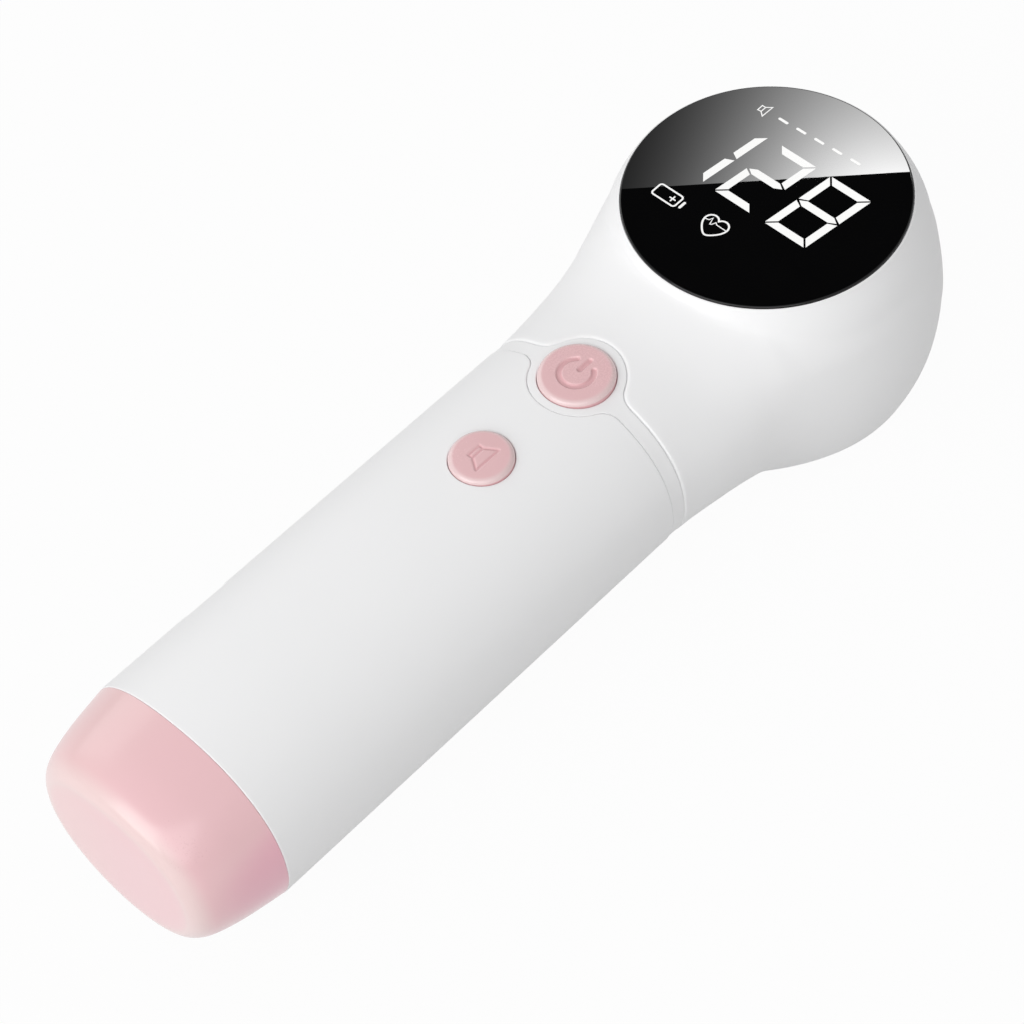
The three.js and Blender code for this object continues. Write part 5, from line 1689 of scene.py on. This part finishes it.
# %% Glass of the display
GLASS_RADIUS, GLASS_TOP, GLASS_CORNER = 24.0, 41.48, 0.2
GLASS_UNDER, PLUG_RADIUS, PLUG_UNDER = 40.72, 21.4, 39.7

pane_profile = [(1.0, PLUG_UNDER), (PLUG_RADIUS, PLUG_UNDER), (PLUG_RADIUS, GLASS_UNDER)]
pane_profile += [(GLASS_RADIUS - 0.1, GLASS_UNDER)]
pane_profile += round_corner((GLASS_RADIUS - GLASS_CORNER, GLASS_TOP - GLASS_CORNER), GLASS_CORNER, 0, 90)
pane_profile += [(radius, GLASS_TOP) for radius in (20.0, 10.0, 1.0)]
show("display_pane", turned("display_pane", pane_profile), pane, "monitor", "black_glass", "display_window")

# %% [markdown]
# Under the head sits the ultrasound probe: a shallow white dish with a pale resin disc in its
# middle, which is laid on the skin. The photograph doesn't show it, so both keep to the plain
# form that such probes have. They are turned too, with soft edges that don't press.

# %% Probe dish and probe face
DISH_RADIUS, DISH_CORNER = 24.0, 1.1
DISC_RADIUS, DISC_CORNER = 14.7, 0.25

dish_profile = [(15.0, 0.0)] + round_corner((DISH_RADIUS - DISH_CORNER, DISH_CORNER), DISH_CORNER, 270, 360)
dish_profile += [(DISH_RADIUS, 1.2), (20.6, 1.2), (20.6, 7.5), (18.8, 7.5)]
dish_profile += [(18.8, 2.0), (15.0, 2.0), (15.0, 0.15)]
dish = turned("probe_dish", dish_profile, True)
show("probe_dish", dish, white_finish, "monitor", "white_plastic", "probe_housing")

face_profile = [(1.0, 0.0), (13.0, 0.0)]
face_profile += round_corner((DISC_RADIUS - DISC_CORNER, DISC_CORNER), DISC_CORNER, 270, 360)
face_profile += [(DISC_RADIUS, 2.0), (16.8, 2.0), (16.8, 3.2), (1.0, 3.2)]
disc = turned("probe_face_disc", face_profile)
show("probe_face_disc", disc, finishes["face_resin"], "monitor", "face_resin", "acoustic_face")

# %% [markdown]
# Behind the glass, lit segments show the number 128. An image would blur close up, and a text
# object would bring a typeface. A seven-segment figure is a set of bars with mitred ends, so
# thin plates in the glass's top face show it sharply at any distance. They are drawn in the
# pane's own plane: u runs to the right hand and v towards the head.

# %% Number on the display
INLAY_HALF = 0.012
DIGIT_HEIGHT, DIGIT_BOTTOM = 14.45, -4.83
SLANT, STROKE, MITRE_GAP = 0.13, 1.42, 0.23
SEGMENTS = {"1": "bc", "2": "abged", "8": "abcdefg"}
DIGITS = (("1", -17.95, 8.2), ("2", -7.1, 7.85), ("8", 3.7, 8.65))


def on_pane(points, rise):
    """Points (u, v) in the top face of the glass, raised by rise: (v, -u, top + rise)."""
    u, v = np.asarray(points, float).T
    return np.stack([v, -u, np.full_like(u, GLASS_TOP + rise)], -1)


def plate(skin, outline):
    """A flat plate in the pane's face from an outline of (u, v) points."""
    bar(skin, on_pane(outline, INLAY_HALF), (0, 0, 0), (0, 0, -2 * INLAY_HALF))


def segment_outlines(w):
    """The seven bars of a figure of width w, each as its corner points."""
    h, t, g = DIGIT_HEIGHT, STROKE, MITRE_GAP
    m, half, tip = h / 2, t / 2, g * 1.6
    top = np.array([(g, h), (w - g, h), (w - t - g, h - t), (t + g, h - t)])
    right = np.array([(w, h - g), (w, m + g), (w - t, m + half + g), (w - t, h - t - g)])
    near, far = t + g / 2, w - t - g / 2
    middle = [(tip, m), (near, m + half), (far, m + half), (w - tip, m), (far, m - half), (near, m - half)]
    upside, sideways = (lambda points: points * (1, -1) + (0, h)), (lambda points: points * (-1, 1) + (w, 0))
    return {
        "a": top, "b": right, "c": upside(right), "d": upside(top),
        "e": sideways(upside(right)), "f": sideways(right), "g": np.array(middle),
    }


def digits(skin):
    """Each bar leans with the number: u grows by SLANT times its height above the foot."""
    for figure, left, width in DIGITS:
        outlines = segment_outlines(width)
        for letter in SEGMENTS[figure]:
            u, v = outlines[letter].T
            plate(skin, np.stack([left + u + SLANT * v, DIGIT_BOTTOM + v], -1))


figures = Skin()
digits(figures)
print("bars in the number:", sum(len(SEGMENTS[figure]) for figure, _, _ in DIGITS))

# %% [markdown]
# The small signs are lines of one width. Blender can give a curve a width and turn it into a
# mesh, but its corners then differ from sign to sign. Here each point of a path moves to both
# sides along its mitre, which keeps the width even round every corner.

# %% Strokes and small outlines
MITRE_LEAST = 0.4


def stroke(skin, path, width, closed=True):
    """A band of one width along a path: each point moves by half the width along its mitre,
    (a + b) / (1 + a.b), where a and b are the directions square to the path before and after."""
    path = np.asarray(path, float)
    ahead = np.roll(path, -1, 0) - path
    ahead /= np.linalg.norm(ahead, axis=1, keepdims=True)
    if not closed:
        ahead[-1] = ahead[-2]
    behind = np.roll(ahead, 1, 0)
    if not closed:
        behind[0] = ahead[0]
    before, after = (np.stack([-way[:, 1], way[:, 0]], -1) for way in (behind, ahead))
    mitre = (before + after) / np.maximum(1 + (before * after).sum(1, keepdims=True), MITRE_LEAST)
    left, right = path + mitre * width / 2, path - mitre * width / 2
    corners = ((left, 1), (right, 1), (right, -1), (left, -1))
    numbers = skin.add(np.stack([on_pane(points, rise * INLAY_HALF) for points, rise in corners], 1))
    if closed:
        numbers = np.vstack([numbers, numbers[:1]])
    skin.weave_round(numbers)
    if not closed:
        skin.cap(numbers[0])
        skin.cap(numbers[-1][::-1])


def rounded_box(centre, width, height, corner, steps=6):
    """Outline of a box with round corners: a quarter circle about each inner corner."""
    points = []
    for k, (sx, sy) in enumerate(((1, 1), (-1, 1), (-1, -1), (1, -1))):
        middle = (centre[0] + sx * (width / 2 - corner), centre[1] + sy * (height / 2 - corner))
        points += round_corner(middle, corner, 90 * k, 90 * (k + 1), steps)
    return points


HEART_RIGHT = [
    (0, 1.35), (0.45, 1.83), (1.25, 2.0), (2.05, 1.55), (2.35, 0.65),
    (2.0, -0.45), (1.2, -1.45), (0.45, -2.05), (0, -2.2),
]


def heart(centre):
    """A heart with a shallow notch and a round tip: a smooth line through the points of its
    right half and, in the other order, of their mirror images."""
    half = soft_path(HEART_RIGHT, 40)
    other = (half * (-1, 1))[-2:0:-1]
    return np.vstack([half, other]) + centre


print("points round the heart:", len(heart((0, 0))))

# %% [markdown]
# Above the number five dashes show the volume, with a small loudspeaker at their start. Below it
# are a battery with a plus and a heart with a pulse line. They are generic signs, drawn from a
# few points each, and all of them end up in one piece, which glows.

# %% Signs on the display
LINE, THIN_LINE, PLUS_LINE, PULSE_LINE = 0.31, 0.19, 0.24, 0.17
SPEAKER = [(-13.38, 13.14), (-13.38, 14.34), (-12.7, 14.34), (-11.76, 15.1), (-11.84, 12.52), (-12.7, 13.2)]
PULSE = [
    (-4.2, -10.3), (-3.5, -10.12), (-3.2, -9.45), (-2.8, -10.75),
    (-2.5, -10.6), (-2.2, -9.9), (-1.75, -10.2), (0.15, -10.2),
]
SPEAKER_FOOT = [(-12.68, 13.26), (-12.68, 14.26)]
DASHES, DASH_START, DASH_STEP, DASH_SIZE = 5, (-8.42, 13.94), (3.755, 0.16), (2.05, 0.5, 0.22)
BATTERY_BOX, BATTERY_KNOB = ((-12.26, -10.5), 4.95, 2.6, 0.5), ((-8.95, -10.6), 0.46, 1.65, 0.2)
PLUS = ([(-11.73, -10.56), (-10.43, -10.56)], [(-11.08, -11.2), (-11.08, -9.92)])
HEART_PLACE = (-2.0, -10.78)


def volume_signs(skin):
    """Dashes on a slightly rising line, start + i step, and the loudspeaker."""
    for i in range(DASHES):
        spot = [start + i * step for start, step in zip(DASH_START, DASH_STEP)]
        plate(skin, rounded_box(spot, *DASH_SIZE))
    stroke(skin, SPEAKER, THIN_LINE)
    stroke(skin, SPEAKER_FOOT, THIN_LINE, False)


def battery_sign(skin):
    """A box with round corners, a knob at its end and a plus inside."""
    stroke(skin, rounded_box(*BATTERY_BOX), LINE)
    plate(skin, rounded_box(*BATTERY_KNOB))
    for line in PLUS:
        stroke(skin, line, PLUS_LINE, False)


def heart_sign(skin):
    """The heart's outline with the pulse across it."""
    stroke(skin, heart(HEART_PLACE), LINE)
    stroke(skin, PULSE, PULSE_LINE, False)


volume_signs(figures)
battery_sign(figures)
heart_sign(figures)
show("display_figures", figures.mesh("display_figures", 30), glow, "monitor", "black_glass")

# %% [markdown]
# The dressed object must not outgrow the imported model. So both boxes are measured and
# written down.

# %% Sizes and the end
dressed_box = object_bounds()
for label, (low, high) in (("packed", cad_box), ("dressed", dressed_box)):
    print(label, "size in mm:", [round((b - a) / MM, 2) for a, b in zip(low, high)])
